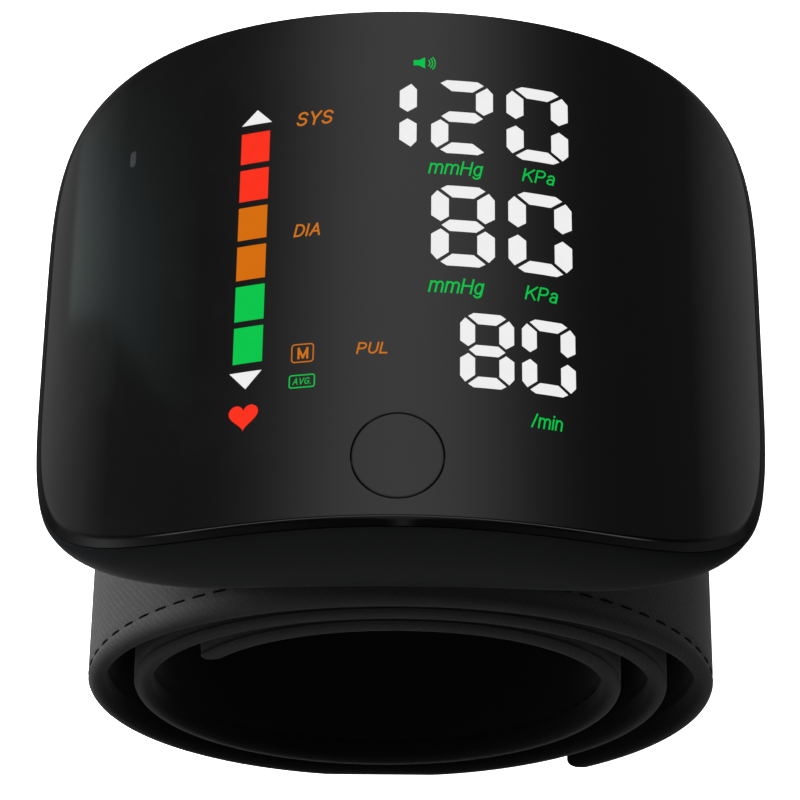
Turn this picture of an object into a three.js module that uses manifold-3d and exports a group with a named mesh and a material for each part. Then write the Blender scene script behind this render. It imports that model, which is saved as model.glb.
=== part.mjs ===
// Wrist blood pressure monitor: an arched case that stands on its own rolled-up cuff.
// Millimetres, +Z up. X runs across the wrist, Y along it, and the roll stands on z = 0.
import * as THREE from 'three';
import { mergeVertices } from 'three/addons/utils/BufferGeometryUtils.js';
import Module from 'manifold-3d';

const wasm = await Module();
wasm.setup();

// Clearances
const GAP = 0.3; // between pieces that touch or slide
const LAYER_GAP = 0.15; // between the layers sewn into the cuff

// Rolled cuff
const ROLL_HALF_WIDTH = 32.7; // outermost turn, to its outer face
const ROLL_RISE = 24.7; // its top above the roll's middle line
const ROLL_DROP = 26.7; // its bottom below that line, before it is pressed flat
const ROLL_POWER = 2.03; // a turn is a superellipse of this power
const PITCH_SIDE = 4.8; // turn to turn at the sides
const PITCH_TOP = 3.15; // turn to turn at the top
const PITCH_BOTTOM = 3.85;
const FOOT_CUT = 0.5; // how deep the roll is pressed flat where it stands
const CUFF_OVERHANG = 0.8; // how far the cuff's edges stand out past the ends of the case
const OUTER_CLOTH = 0.7;
const FILLING = 0.4; // bladder or stay between the two cloths
const INNER_CLOTH = 0.5;
const FILLING_MARGIN = 4; // sewn border round the bladder and the stay
const HOOK_PATCH = 0.7; // thickness of the hook patch
const HOOK_MARGIN = 5; // border of the flap round the hook patch

// Places along the roll, in half turns counted from the inner end's own top half
const INNER_END = 0.16;
const STAY_END = 2.9;
const BLADDER_START = 3.05;
const BLADDER_END = 4.38;
const FLAP_START = 5.04;
const FLAP_END = 5.28;
const HOOK_START = 5.12;
const STEPS_PER_HALF_TURN = 20;

// Case
const BODY_LENGTH = 57; // along the wrist
const FACE_DROP = 17.85; // how far the arched face falls from its crown to its sides
const PLAN_POWER = 5; // the outline from above is a superellipse of this power
const BEVEL_WIDTH = 0.6;
const BEVEL_DROP = 0.9;
const COVER_WALL = 1.2;
const CASE_WALL = 1.2;
const CASE_FLOOR = 1.5;
const CASE_TAPER = 0.25; // how far the case wall draws in towards the underside
const WING_LIP = 2.65; // case edge left below the parting line at the two sides
const WING_WALL = 1.3; // case thickness there, measured upright
const SIDE_BAY = 7.9; // room beside the board for the valve and the speaker
const WING = 10.3; // thin edge of the case outside that room
const PLAN_STEPS = 64;
const FACE_RINGS = 7;

// Boards and display
const BOARD_WIDTH = 37;
const BOARD_THICK = 1;
const BOARD_FAR_MARGIN = 6; // board edge to the far end of the case
const POST_INSET = 1.4; // board posts from the board's edges
const BOARD_POST_RADIUS = 1.2;
const MASK_THICK = 0.7;
const MASK_NEAR_REACH = 3.8; // how far the mask runs past the board towards the button
const WELL_WALL = 0.8; // floor left under the light wells
const CHIP_SIZE = [6.4, 5, 1.2];
const CHIP_INSET = [5.5, 2]; // controller chip from the board's left and far edges
const DIGIT_ROWS = [
  { y: 14.9, height: 9.4, width: 6, xs: [0.2, 6.6, 13.8] },
  { y: 2.4, height: 9.8, width: 6, xs: [6.6, 13.8] },
  { y: -11.2, height: 8.6, width: 5, xs: [8.9, 14.9] },
];
const BAR = { x: -15, y: 12, width: 2.6, height: 3, pitch: 4, count: 6 };

// Button and its switch
const BUTTON_RADIUS = 4.4;
const BUTTON_INSET = 6.8; // button centre from the near end of the case
const BUTTON_FLANGE = 0.7; // how far the retaining flange stands out, and its thickness
const BUTTON_TRAVEL = 0.5;
const STEM_RADIUS = 1.5;
const STEM_LENGTH = 2.1;
const SWITCH_SIZE = 4.5;
const SWITCH_HEIGHT = 1.2;
const PLUNGER_RADIUS = 1.1;
const PLUNGER_RISE = 0.5;
const BUTTON_BOARD_THICK = 0.8;
const BUTTON_BOARD_WIDTH = 19;
const BUTTON_POST_X = 7.5;
const BUTTON_POST_RADIUS = 1.3;
const BUTTON_PIN_RADIUS = 0.7;

// Battery, socket, speaker and indicator
const BATTERY_THICK = 3.2;
const BATTERY_CLEAR = 0.7; // battery to the nozzle beside it
const USB_SIZE = [9, 7.6, 3.2];
const SPEAKER_RADIUS = 4.8;
const SPEAKER_THICK = 2.2;
const SPEAKER_Y = 8;
const GRILLE_HOLE = 0.5;
const GRILLE_RING = 2.6;
const GRILLE_COUNT = 6;
const INDICATOR_INSET = [9.3, 12.8]; // from the left and far edges of the case
const INDICATOR_SIZE = [0.6, 1.8];

// Pump, valve and air path
const PUMP_RADIUS = 3.5;
const MOTOR_LENGTH = 16;
const HEAD_LENGTH = 7.5;
const MOTOR_LEFT = -13;
const SHAFT_RADIUS = 0.5;
const ECCENTRIC_RADIUS = 1.7;
const ECCENTRIC_THROW = 0.5;
const ECCENTRIC_WIDTH = 2;
const CRADLE_HEIGHT = 3;
const CRADLE_THICK = 1.2;
const VALVE_SIZE = [4.8, 9, 4.4];
const VALVE_PIN_RADIUS = 0.7;
const VALVE_TRAVEL = 0.6;
const VALVE_Y = 2;
const VALVE_SPRING_LENGTH = 2.8;
const SPRING_TURNS = 4;
const SPRING_WIRE = 0.18;
const SENSOR_SIZE = [4, 4.5, 2.4];
const SENSOR_TUBE = 1.8;
const MANIFOLD_SIZE = [6, 5, 3];
const TUBE_RADIUS = 0.9;
const TUBE_SIDES = 8;
const PUMP_TUBE_BEND = 2;
const CUFF_TUBE_CORNER = 5;
const NOZZLE_RADIUS = 1.4;
const NOZZLE_BORE = 0.6;
const NOZZLE_INSET = 1.2; // nozzle from the left edge of the board
const NOZZLE_Y = -3;
const NOZZLE_SEAL = 0.6;
const NOZZLE_FLANGE = 0.4;

// Fasteners
const SCREW_INSET = 8.7; // case screws from the edges of the case
const SCREW_HEAD_RADIUS = 1.5;
const SCREW_HEAD_HEIGHT = 0.9;
const SCREW_SHANK_RADIUS = 0.8;
const SCREW_SHANK = 4.2;
const SCREW_POST_RADIUS = 2.2;
const SCREW_BOSS_HEIGHT = 1.5;
const PLATE_THICK = 0.9;
const PLATE_LENGTH = 40;
const PLATE_REACH = 0.24; // of a half turn, centred on the top
const STUD_RADIUS = 1.3;
const STUD_X = 8;
const STUD_Y = 14;
const STUD_DEPTH = 1;

// Worked out from the sizes above
const BAND = OUTER_CLOTH + FILLING + INNER_CLOTH + 2 * LAYER_GAP;
const CUFF_WIDTH = BODY_LENGTH + 2 * CUFF_OVERHANG;
const ROLL_Z = ROLL_DROP - FOOT_CUT;
const CASE_BOTTOM = ROLL_Z + ROLL_RISE + GAP;
const FLOOR_Z = CASE_BOTTOM + CASE_FLOOR;
const SEAT_Z = FLOOR_Z + GAP;
const HALF_BOARD = BOARD_WIDTH / 2;
const NOZZLE_X = NOZZLE_INSET - HALF_BOARD;
const NOZZLE_BODY = NOZZLE_RADIUS + 2 * GAP;
const NOZZLE_FLANGE_RADIUS = NOZZLE_BODY + 2 * GAP;
const BATTERY_WIDTH = -2 * (NOZZLE_X + NOZZLE_FLANGE_RADIUS + BATTERY_CLEAR);
const BAY_X = HALF_BOARD + 2 * GAP;
const HALF_WIDTH = HALF_BOARD + SIDE_BAY + WING;
const HALF_LENGTH = BODY_LENGTH / 2;
const ARCH_RADIUS = (HALF_WIDTH ** 2 + FACE_DROP ** 2) / (2 * FACE_DROP);
const CEILING_RADIUS = ARCH_RADIUS - COVER_WALL;
const FLANGE_RADIUS = BUTTON_RADIUS + BUTTON_FLANGE;
// The pump, its board, the switch and the button stand on each other and set the case's height
const SWITCH_STACK = BUTTON_BOARD_THICK + GAP + SWITCH_HEIGHT + PLUNGER_RISE + GAP;
const BUTTON_STACK = 2 * PUMP_RADIUS + GAP + SWITCH_STACK + STEM_LENGTH + BUTTON_FLANGE + GAP;
const CEILING_SAG = CEILING_RADIUS - Math.sqrt(CEILING_RADIUS ** 2 - FLANGE_RADIUS ** 2);
const CROWN_Z = SEAT_Z + BUTTON_STACK + CEILING_SAG + COVER_WALL;
const CASE_DEPTH = CROWN_Z - CASE_BOTTOM;
const ARCH_Z = CROWN_Z - ARCH_RADIUS;
const BUTTON_Y = BUTTON_INSET - HALF_LENGTH;
const BOARD_NEAR = BUTTON_Y + PUMP_RADIUS + 6 * GAP;
const BOARD_FAR = HALF_LENGTH - BOARD_FAR_MARGIN;
const BOARD_Z = SEAT_Z + Math.max(USB_SIZE[2], BATTERY_THICK) + GAP;
const PUMP_Z = SEAT_Z + PUMP_RADIUS;
const HEAD_LEFT = MOTOR_LEFT + MOTOR_LENGTH + GAP;
const CYLINDER_SIDES = 32;
const SMALL_SIDES = 12; // for posts, screws and small holes
const SHAFT_SIDES = 16;
const PUMP_SIDES = 24;

// Geometry helpers

/** Shared corners merged, slivers dropped, faces pointing out. */
function closed(geometry) {
  const bare = geometry.clone();
  bare.deleteAttribute('normal');
  bare.deleteAttribute('uv');
  const merged = mergeVertices(bare, 1e-4);
  const source = merged.index.array;
  const position = merged.attributes.position;
  const triangles = [];
  for (let i = 0; i < source.length; i += 3) {
    const [a, b, c] = [source[i], source[i + 1], source[i + 2]];
    if (a !== b && b !== c && c !== a) triangles.push([a, b, c]);
  }
  const [p, q, r] = [new THREE.Vector3(), new THREE.Vector3(), new THREE.Vector3()];
  let volume = 0;
  for (const [a, b, c] of triangles) {
    p.fromBufferAttribute(position, a);
    q.fromBufferAttribute(position, b);
    r.fromBufferAttribute(position, c);
    volume += p.dot(q.cross(r));
  }
  const facing = volume < 0 ? triangles.map(([a, b, c]) => [a, c, b]) : triangles;
  merged.setIndex(facing.flat());
  return merged;
}

function solid(geometry) {
  const shape = closed(geometry);
  return new wasm.Manifold(new wasm.Mesh({
    numProp: 3,
    vertProperties: new Float32Array(shape.attributes.position.array),
    triVerts: new Uint32Array(shape.index.array),
  }));
}

function geometryOf(manifold) {
  const mesh = manifold.getMesh();
  const geometry = new THREE.BufferGeometry();
  geometry.setAttribute('position', new THREE.BufferAttribute(mesh.vertProperties, 3));
  geometry.setIndex(new THREE.BufferAttribute(mesh.triVerts, 1));
  return geometry;
}

const cut = (body, ...tools) =>
  geometryOf(tools.reduce((left, tool) => left.subtract(solid(tool)), solid(body)));
const join = (body, ...more) =>
  geometryOf(more.reduce((sum, piece) => sum.add(solid(piece)), solid(body)));
const common = (body, tool) => geometryOf(solid(body).intersect(solid(tool)));

/** A skin over rings of equal point counts, closed by a fan at each end. */
function loft(rings) {
  const count = rings[0].length;
  const points = rings.flat();
  const ends = [rings[0], rings[rings.length - 1]];
  const middles = ends.map((ring) =>
    ring.reduce((sum, point) => sum.add(point), new THREE.Vector3()).divideScalar(count));
  points.push(...middles);
  const index = [];
  for (let ring = 0; ring + 1 < rings.length; ring += 1) {
    for (let i = 0; i < count; i += 1) {
      const next = (i + 1) % count;
      const [a, b] = [ring * count + i, ring * count + next];
      index.push(a, b, b + count, a, b + count, a + count);
    }
  }
  const last = (rings.length - 1) * count;
  for (let i = 0; i < count; i += 1) {
    const next = (i + 1) % count;
    index.push(rings.length * count, next, i);
    index.push(rings.length * count + 1, last + i, last + next);
  }
  const geometry = new THREE.BufferGeometry().setFromPoints(points);
  geometry.setIndex(index);
  return geometry;
}

/** A box given by its lowest corner and its size. */
function box([x, y, z], [width, length, height]) {
  return new THREE.BoxGeometry(width, length, height)
    .translate(x + width / 2, y + length / 2, z + height / 2);
}

/** A round bar that starts at a point and runs along +X, +Y or +Z. */
function bar(axis, [x, y, z], radius, length, sides = CYLINDER_SIDES) {
  const geometry = new THREE.CylinderGeometry(radius, radius, length, sides);
  geometry.translate(0, length / 2, 0);
  if (axis === 'x') geometry.rotateZ(-Math.PI / 2);
  if (axis === 'z') geometry.rotateX(Math.PI / 2);
  return geometry.translate(x, y, z);
}

/** A turned piece about the vertical, from [radius, height] pairs that start and end on the axis. */
function turned(profile, sides = CYLINDER_SIDES) {
  const points = profile.map(([radius, height]) => new THREE.Vector2(radius, height));
  return new THREE.LatheGeometry(points, sides).rotateX(Math.PI / 2);
}

/** A round tube through a list of points. */
function tube(points, radius, steps, sides = TUBE_SIDES) {
  const path = new THREE.CatmullRomCurve3(points.map((point) => new THREE.Vector3(...point)));
  const section = new THREE.Shape();
  for (let i = 0; i < sides; i += 1) {
    const angle = (2 * Math.PI * i) / sides;
    const corner = [radius * Math.cos(angle), radius * Math.sin(angle)];
    if (i === 0) section.moveTo(...corner);
    else section.lineTo(...corner);
  }
  return new THREE.ExtrudeGeometry(section, { steps, extrudePath: path, bevelEnabled: false });
}

// Case outline and arched face

/** Height of the arch that lies a given depth under the face, measured square to it. */
const archZ = (x, depth = 0) => ARCH_Z + Math.sqrt((ARCH_RADIUS - depth) ** 2 - x ** 2);
const ceilingZ = (x) => archZ(x, COVER_WALL);

/** A point of the outline seen from above, drawn in by an inset. */
function planPoint(step, inset, scale = 1) {
  const angle = (2 * Math.PI * step) / PLAN_STEPS;
  const [c, s] = [Math.cos(angle), Math.sin(angle)];
  const across = Math.abs(c / (HALF_WIDTH - inset)) ** PLAN_POWER;
  const along = Math.abs(s / (HALF_LENGTH - inset)) ** PLAN_POWER;
  const reach = scale / (across + along) ** (1 / PLAN_POWER);
  return new THREE.Vector2(reach * c, reach * s);
}

function planRing(inset, height, scale = 1) {
  return Array.from({ length: PLAN_STEPS }, (_, step) => {
    const point = planPoint(step, inset, scale);
    return new THREE.Vector3(point.x, point.y, height(point.x));
  });
}

/** Height of the joint between cover and case, which runs along under the arch. */
const partingZ = (x) => archZ(x) - BEVEL_DROP;

/** A block under an arch: flat below, its top a given depth under the face. */
function archedBlock(halfWidth, near, far, bottom, depth) {
  const arcSteps = 16;
  const outline = new THREE.Shape();
  outline.moveTo(-halfWidth, bottom(-halfWidth));
  for (let i = 0; i <= arcSteps; i += 1) {
    const x = -halfWidth + (2 * halfWidth * i) / arcSteps;
    outline.lineTo(x, archZ(x, depth));
  }
  for (let i = 0; i <= arcSteps; i += 1) {
    const x = halfWidth - (2 * halfWidth * i) / arcSteps;
    if (i < arcSteps) outline.lineTo(x, bottom(x));
  }
  return new THREE.ExtrudeGeometry(outline, { depth: far - near, bevelEnabled: false })
    .rotateX(Math.PI / 2)
    .translate(0, far, 0);
}

// Roll of the cuff

/** A point of the roll: place in half turns from the inside, depth in from the band's outer face. */
function rollPoint(place, depth) {
  const half = Math.floor(place);
  const turn = Math.PI * (place - half);
  const top = half % 2 === 0;
  const inwards = (4 - half) / 2;
  const wide = ROLL_HALF_WIDTH - PITCH_SIDE * inwards;
  const high = top ? ROLL_RISE - PITCH_TOP * inwards : ROLL_DROP - PITCH_BOTTOM * ((3 - half) / 2);
  const c = top ? -Math.cos(turn) : Math.cos(turn);
  const s = top ? Math.sin(turn) : -Math.sin(turn);
  const bow = (value, power) => Math.sign(value) * Math.abs(value) ** power;
  const normal = new THREE.Vector2(
    bow(c, 2 - 2 / ROLL_POWER) / wide,
    bow(s, 2 - 2 / ROLL_POWER) / high,
  ).normalize();
  const x = (top ? 0 : -PITCH_SIDE / 2) + wide * bow(c, 2 / ROLL_POWER) - normal.x * depth;
  const z = ROLL_Z + high * bow(s, 2 / ROLL_POWER) - normal.y * depth;
  return new THREE.Vector2(x, Math.max(z, depth));
}

/** A layer of the band between two places and two depths, of a given width along the wrist. */
function layer(from, to, outer, inner, width) {
  const steps = Math.max(4, Math.ceil((to - from) * STEPS_PER_HALF_TURN));
  const rings = Array.from({ length: steps + 1 }, (_, i) => {
    const place = from + ((to - from) * i) / steps;
    const [a, b] = [rollPoint(place, outer), rollPoint(place, inner)];
    return [
      new THREE.Vector3(a.x, -width / 2, a.y),
      new THREE.Vector3(a.x, width / 2, a.y),
      new THREE.Vector3(b.x, width / 2, b.y),
      new THREE.Vector3(b.x, -width / 2, b.y),
    ];
  });
  return loft(rings);
}

/** Height of the outermost turn's top at a given x and depth, found by halving. */
function rollTopZ(x, depth) {
  let [low, high] = [4, 5];
  for (let i = 0; i < 40; i += 1) {
    const middle = (low + high) / 2;
    if (rollPoint(middle, depth).x < x) low = middle;
    else high = middle;
  }
  return rollPoint(low, depth).y;
}

/** Least gap between a turn's inner face and the turn inside it. */
function leastTurnGap(samples = 240) {
  let least = Infinity;
  for (let i = 0; i <= samples; i += 1) {
    const place = INNER_END + 2 + ((FLAP_END - INNER_END - 2) * i) / samples;
    const inner = rollPoint(place, place < FLAP_START ? BAND : BAND + LAYER_GAP + HOOK_PATCH);
    for (let shift = -0.2; shift <= 0.2; shift += 0.01) {
      const below = Math.max(INNER_END, place - 2 + shift);
      least = Math.min(least, inner.distanceTo(rollPoint(below, 0)));
    }
  }
  return least;
}

// The assembly
const monitor = new THREE.Group();

function add(name, geometry, [color, roughness, metalness = 0], parent = monitor) {
  const material = new THREE.MeshStandardMaterial({ color, roughness, metalness });
  const mesh = new THREE.Mesh(closed(geometry), material);
  mesh.name = name;
  parent.add(mesh);
  return mesh;
}

const GLOSS_BLACK = [0x0b0c0e, 0.12];
const MATT_BLACK = [0x15171a, 0.6];
const SMOKED_FILM = [0x1b1b1d, 0.4];
const WHITE_PLASTIC = [0xe4e4e0, 0.5];
const CLEAR_PLASTIC = [0x8c9094, 0.25];
const BOARD_GREEN = [0x0f4a2c, 0.5];
const STEEL = [0x9a9da1, 0.3, 1];
const FOIL = [0xb9bcc0, 0.35, 0.8];
const RUBBER = [0x2a2b2d, 0.8];
const SILICONE = [0xcfd3d4, 0.5];
const DARK_CLOTH = [0x232427, 0.9];
const LINING_CLOTH = [0x1a1b1d, 0.95];
const FILM_PLASTIC = [0x55585c, 0.5];

const screwSites = [-1, 1].flatMap((side) => [-1, 1].map((end) =>
  [side * (HALF_WIDTH - SCREW_INSET), end * (HALF_LENGTH - SCREW_INSET)]));
const studSites = [-1, 1].flatMap((side) => [-1, 1].map((end) => [side * STUD_X, end * STUD_Y]));
const boardPosts = [-1, 1].flatMap((side) =>
  [BOARD_NEAR + POST_INSET, BOARD_FAR - POST_INSET].map((y) => [side * (HALF_BOARD - POST_INSET), y]));

const buttonBoardZ = SEAT_Z + 2 * PUMP_RADIUS + GAP;
const switchZ = buttonBoardZ + BUTTON_BOARD_THICK + GAP;
const switchTop = switchZ + SWITCH_HEIGHT;
const stemZ = switchTop + PLUNGER_RISE + GAP;
const flangeZ = stemZ + STEM_LENGTH;
const screwZ = CASE_BOTTOM + GAP;
const screwTip = screwZ + SCREW_HEAD_HEIGHT + SCREW_SHANK;
const bossTop = FLOOR_Z + SCREW_BOSS_HEIGHT;
const indicatorX = INDICATOR_INSET[0] - HALF_WIDTH;
const indicatorY = HALF_LENGTH - INDICATOR_INSET[1];
const speakerX = -(BAY_X + SPEAKER_RADIUS);
const usbFace = HALF_LENGTH - CASE_TAPER - GAP;

// Front cover: an arched plate with a bevelled rim, its posts hanging from the ceiling
function frontCover() {
  const scales = Array.from({ length: FACE_RINGS }, (_, i) => (i + 1) / FACE_RINGS);
  const face = scales.map((scale) => planRing(BEVEL_WIDTH, (x) => archZ(x), scale));
  const lip = CASE_WALL + CASE_TAPER + GAP; // the cover's underside sits inside the case wall
  const ceiling = scales.map((scale) => planRing(lip, ceilingZ, scale)).reverse();
  const rim = [0, lip].map((inset) => planRing(inset, partingZ));
  const underFace = archedBlock(
    HALF_WIDTH - CASE_WALL, -HALF_LENGTH, HALF_LENGTH, () => CASE_BOTTOM - WING, COVER_WALL / 2);
  const screwPosts = screwSites.map(([x, y]) =>
    common(bar('z', [x, y, bossTop + GAP], SCREW_POST_RADIUS, CASE_DEPTH, SMALL_SIDES), underFace));
  const boardStops = [-1, 1].flatMap((side) => {
    const x = side * BUTTON_POST_X;
    const shoulder = buttonBoardZ + BUTTON_BOARD_THICK + GAP;
    return [
      common(bar('z', [x, BUTTON_Y, shoulder], BUTTON_POST_RADIUS, CASE_DEPTH, SMALL_SIDES), underFace),
      bar('z', [x, BUTTON_Y, buttonBoardZ], BUTTON_PIN_RADIUS, shoulder - buttonBoardZ + GAP, SMALL_SIDES),
    ];
  });
  const screwHoles = screwSites.map(([x, y]) =>
    bar('z', [x, y, FLOOR_Z], SCREW_SHANK_RADIUS + GAP, screwTip + GAP - FLOOR_Z, SMALL_SIDES));
  const buttonHole = bar('z', [0, BUTTON_Y, flangeZ], BUTTON_RADIUS + GAP, CASE_DEPTH);
  const [slotWidth, slotLength] = INDICATOR_SIZE.map((size) => size + 2 * GAP);
  const slot = box(
    [indicatorX - slotWidth / 2, indicatorY - slotLength / 2, FLOOR_Z],
    [slotWidth, slotLength, CASE_DEPTH]);
  const shell = join(loft([...face, ...rim, ...ceiling]), ...screwPosts, ...boardStops);
  return cut(shell, ...screwHoles, buttonHole, slot);
}
add('front_cover', frontCover(), GLOSS_BLACK);

// Rear case: a tray with a flat underside whose two sides bend down under the arch
function rearCase() {
  const edgeX = HALF_WIDTH - CASE_TAPER;
  const wingDrop = archZ(edgeX) - (archZ(HALF_WIDTH) - BEVEL_DROP - WING_LIP);
  const underside = (x) => Math.min(CASE_BOTTOM, archZ(x) - wingDrop);
  const floor = (x) => Math.min(FLOOR_Z, archZ(x) - wingDrop + WING_WALL);
  const bendX = Math.sqrt(ARCH_RADIUS ** 2 - (CASE_BOTTOM + wingDrop - ARCH_Z) ** 2);
  const bend = Math.min(0.95, bendX / edgeX);
  const scales = [0.5, bend, (1 + bend) / 2, 1];
  const outside = scales.map((scale) => planRing(CASE_TAPER, underside, scale));
  const inside = scales.map((scale) => planRing(CASE_TAPER + CASE_WALL, floor, scale)).reverse();
  const edge = [0, CASE_WALL].map((inset) => planRing(inset, (x) => partingZ(x) - GAP));
  const sunk = CASE_FLOOR / 2;
  const bosses = screwSites.map(([x, y]) =>
    bar('z', [x, y, FLOOR_Z - sunk], SCREW_POST_RADIUS, sunk + SCREW_BOSS_HEIGHT, SMALL_SIDES));
  const posts = boardPosts.map(([x, y]) =>
    bar('z', [x, y, FLOOR_Z - sunk], BOARD_POST_RADIUS, sunk + BOARD_Z - GAP - FLOOR_Z, SMALL_SIDES));
  const cradleWidth = 2 * (PUMP_RADIUS + GAP + CRADLE_THICK);
  const cradles = [0.2, 0.8].map((share) => cut(
    box(
      [MOTOR_LEFT + share * MOTOR_LENGTH - CRADLE_THICK / 2, BUTTON_Y - cradleWidth / 2, FLOOR_Z - sunk],
      [CRADLE_THICK, cradleWidth, sunk + CRADLE_HEIGHT]),
    bar('x', [MOTOR_LEFT, BUTTON_Y, PUMP_Z], PUMP_RADIUS + GAP, MOTOR_LENGTH, PUMP_SIDES)));
  const screwHoles = screwSites.flatMap(([x, y]) => [
    bar('z', [x, y, CASE_BOTTOM - GAP], SCREW_HEAD_RADIUS + GAP, SCREW_HEAD_HEIGHT + 3 * GAP, SMALL_SIDES),
    bar('z', [x, y, CASE_BOTTOM], SCREW_SHANK_RADIUS + GAP, CASE_DEPTH, SMALL_SIDES),
  ]);
  const usbSlot = box(
    [-USB_SIZE[0] / 2 - GAP, usbFace - 2 * CASE_WALL - CASE_TAPER, SEAT_Z - GAP / 2],
    [USB_SIZE[0] + 2 * GAP, 4 * CASE_WALL + CASE_TAPER, USB_SIZE[2] + GAP]);
  const grille = Array.from({ length: GRILLE_COUNT + 1 }, (_, i) => {
    const angle = (2 * Math.PI * i) / GRILLE_COUNT;
    const reach = i < GRILLE_COUNT ? GRILLE_RING : 0;
    const [x, y] = [speakerX + reach * Math.cos(angle), SPEAKER_Y + reach * Math.sin(angle)];
    return bar('z', [x, y, CASE_BOTTOM - GAP], GRILLE_HOLE, CASE_FLOOR + 2 * GAP, SMALL_SIDES);
  });
  const nozzleHole = bar(
    'z', [NOZZLE_X, NOZZLE_Y, CASE_BOTTOM - GAP], NOZZLE_RADIUS + GAP, CASE_FLOOR + 2 * GAP, SMALL_SIDES);
  const sockets = studSites.map(([x, y]) =>
    bar('z', [x, y, CASE_BOTTOM - GAP], STUD_RADIUS + GAP, GAP + STUD_DEPTH, SMALL_SIDES));
  const tray = join(loft([...outside, ...edge, ...inside]), ...bosses, ...posts, ...cradles);
  return cut(tray, ...screwHoles, usbSlot, ...grille, nozzleHole, ...sockets);
}
add('rear_case', rearCase(), MATT_BLACK);

// Case screws
const screw = turned([
  [0, 0],
  [SCREW_HEAD_RADIUS, 0],
  [SCREW_HEAD_RADIUS, SCREW_HEAD_HEIGHT],
  [SCREW_SHANK_RADIUS, SCREW_HEAD_HEIGHT],
  [SCREW_SHANK_RADIUS, SCREW_HEAD_HEIGHT + SCREW_SHANK],
  [0, SCREW_HEAD_HEIGHT + SCREW_SHANK],
], SMALL_SIDES);
screwSites.forEach(([x, y], i) => {
  add(`case_screw_${i + 1}`, screw, STEEL).position.set(x, y, screwZ);
});

// Start button, its switch and their board
function startButton() {
  const blank = turned([
    [0, stemZ],
    [STEM_RADIUS, stemZ],
    [STEM_RADIUS, flangeZ],
    [FLANGE_RADIUS, flangeZ],
    [FLANGE_RADIUS, flangeZ + BUTTON_FLANGE],
    [BUTTON_RADIUS, flangeZ + BUTTON_FLANGE],
    [BUTTON_RADIUS, CROWN_Z + GAP],
    [0, CROWN_Z + GAP],
  ]).translate(0, BUTTON_Y, 0);
  const reach = FLANGE_RADIUS + GAP;
  return common(blank, archedBlock(reach, BUTTON_Y - reach, BUTTON_Y + reach, () => stemZ - GAP, 0));
}
add('start_button', startButton(), GLOSS_BLACK);

const switchSite = new THREE.Group();
switchSite.position.set(0, BUTTON_Y, 0);
monitor.add(switchSite);
const buttonBoardLength = SWITCH_SIZE + 2 * BUTTON_PIN_RADIUS + 2 * GAP;
const pinHoles = [-1, 1].map((side) => bar(
  'z', [side * BUTTON_POST_X, 0, buttonBoardZ - GAP],
  BUTTON_PIN_RADIUS + GAP, BUTTON_BOARD_THICK + 2 * GAP, SMALL_SIDES));
add('button_board', cut(
  box(
    [-BUTTON_BOARD_WIDTH / 2, -buttonBoardLength / 2, buttonBoardZ],
    [BUTTON_BOARD_WIDTH, buttonBoardLength, BUTTON_BOARD_THICK]),
  ...pinHoles), BOARD_GREEN, switchSite);
const plungerZ = switchTop - SWITCH_HEIGHT / 2 + BUTTON_TRAVEL / 2;
add('switch_body', cut(
  box([-SWITCH_SIZE / 2, -SWITCH_SIZE / 2, switchZ], [SWITCH_SIZE, SWITCH_SIZE, SWITCH_HEIGHT]),
  bar(
    'z', [0, 0, plungerZ - BUTTON_TRAVEL - GAP / 2],
    PLUNGER_RADIUS + GAP, SWITCH_HEIGHT + BUTTON_TRAVEL)), RUBBER, switchSite);
add('switch_plunger', bar(
  'z', [0, 0, plungerZ], PLUNGER_RADIUS, switchTop + PLUNGER_RISE - plungerZ, SHAFT_SIDES),
WHITE_PLASTIC, switchSite);

// Main board with its controller chip, light wells and the printed film over them
const [chipWidth, chipLength, chipHeight] = CHIP_SIZE;
const chipNear = BOARD_FAR - CHIP_INSET[1] - chipLength;
const chip = box(
  [CHIP_INSET[0] - HALF_BOARD, chipNear, BOARD_Z - chipHeight],
  [chipWidth, chipLength, chipHeight + BOARD_THICK / 2]);
add('main_board', join(
  box([-HALF_BOARD, BOARD_NEAR, BOARD_Z], [BOARD_WIDTH, BOARD_FAR - BOARD_NEAR, BOARD_THICK]),
  chip), BOARD_GREEN);

const reflectorZ = BOARD_Z + BOARD_THICK + GAP;
function displayReflector() {
  const depth = COVER_WALL + MASK_THICK + 2 * GAP;
  const block = archedBlock(HALF_BOARD - GAP, BOARD_NEAR, BOARD_FAR - GAP, () => reflectorZ, depth);
  const well = (x, y, width, height) => box(
    [x - width / 2, y - height / 2, reflectorZ + WELL_WALL], [width, height, CASE_DEPTH]);
  const digits = DIGIT_ROWS.flatMap(({ y, height, width, xs }) =>
    xs.map((x) => well(x, y, width, height)));
  const bars = Array.from({ length: BAR.count }, (_, i) =>
    well(BAR.x, BAR.y - i * BAR.pitch, BAR.width, BAR.height));
  const notchRadius = FLANGE_RADIUS + 2 * GAP;
  const notch = bar('z', [0, BUTTON_Y, FLOOR_Z], notchRadius, CASE_DEPTH);
  return cut(block, ...digits, ...bars, notch);
}
add('display_reflector', displayReflector(), WHITE_PLASTIC);

function displayMask() {
  const under = (x) => archZ(x, COVER_WALL + GAP + MASK_THICK);
  const near = BOARD_NEAR - MASK_NEAR_REACH;
  const film = archedBlock(HALF_BOARD - GAP, near, BOARD_FAR - GAP, under, COVER_WALL + GAP);
  const notchRadius = BUTTON_POST_X + BUTTON_POST_RADIUS + GAP;
  return cut(film, bar('z', [0, BUTTON_Y, FLOOR_Z], notchRadius, CASE_DEPTH));
}
add('display_mask', displayMask(), SMOKED_FILM);

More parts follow.
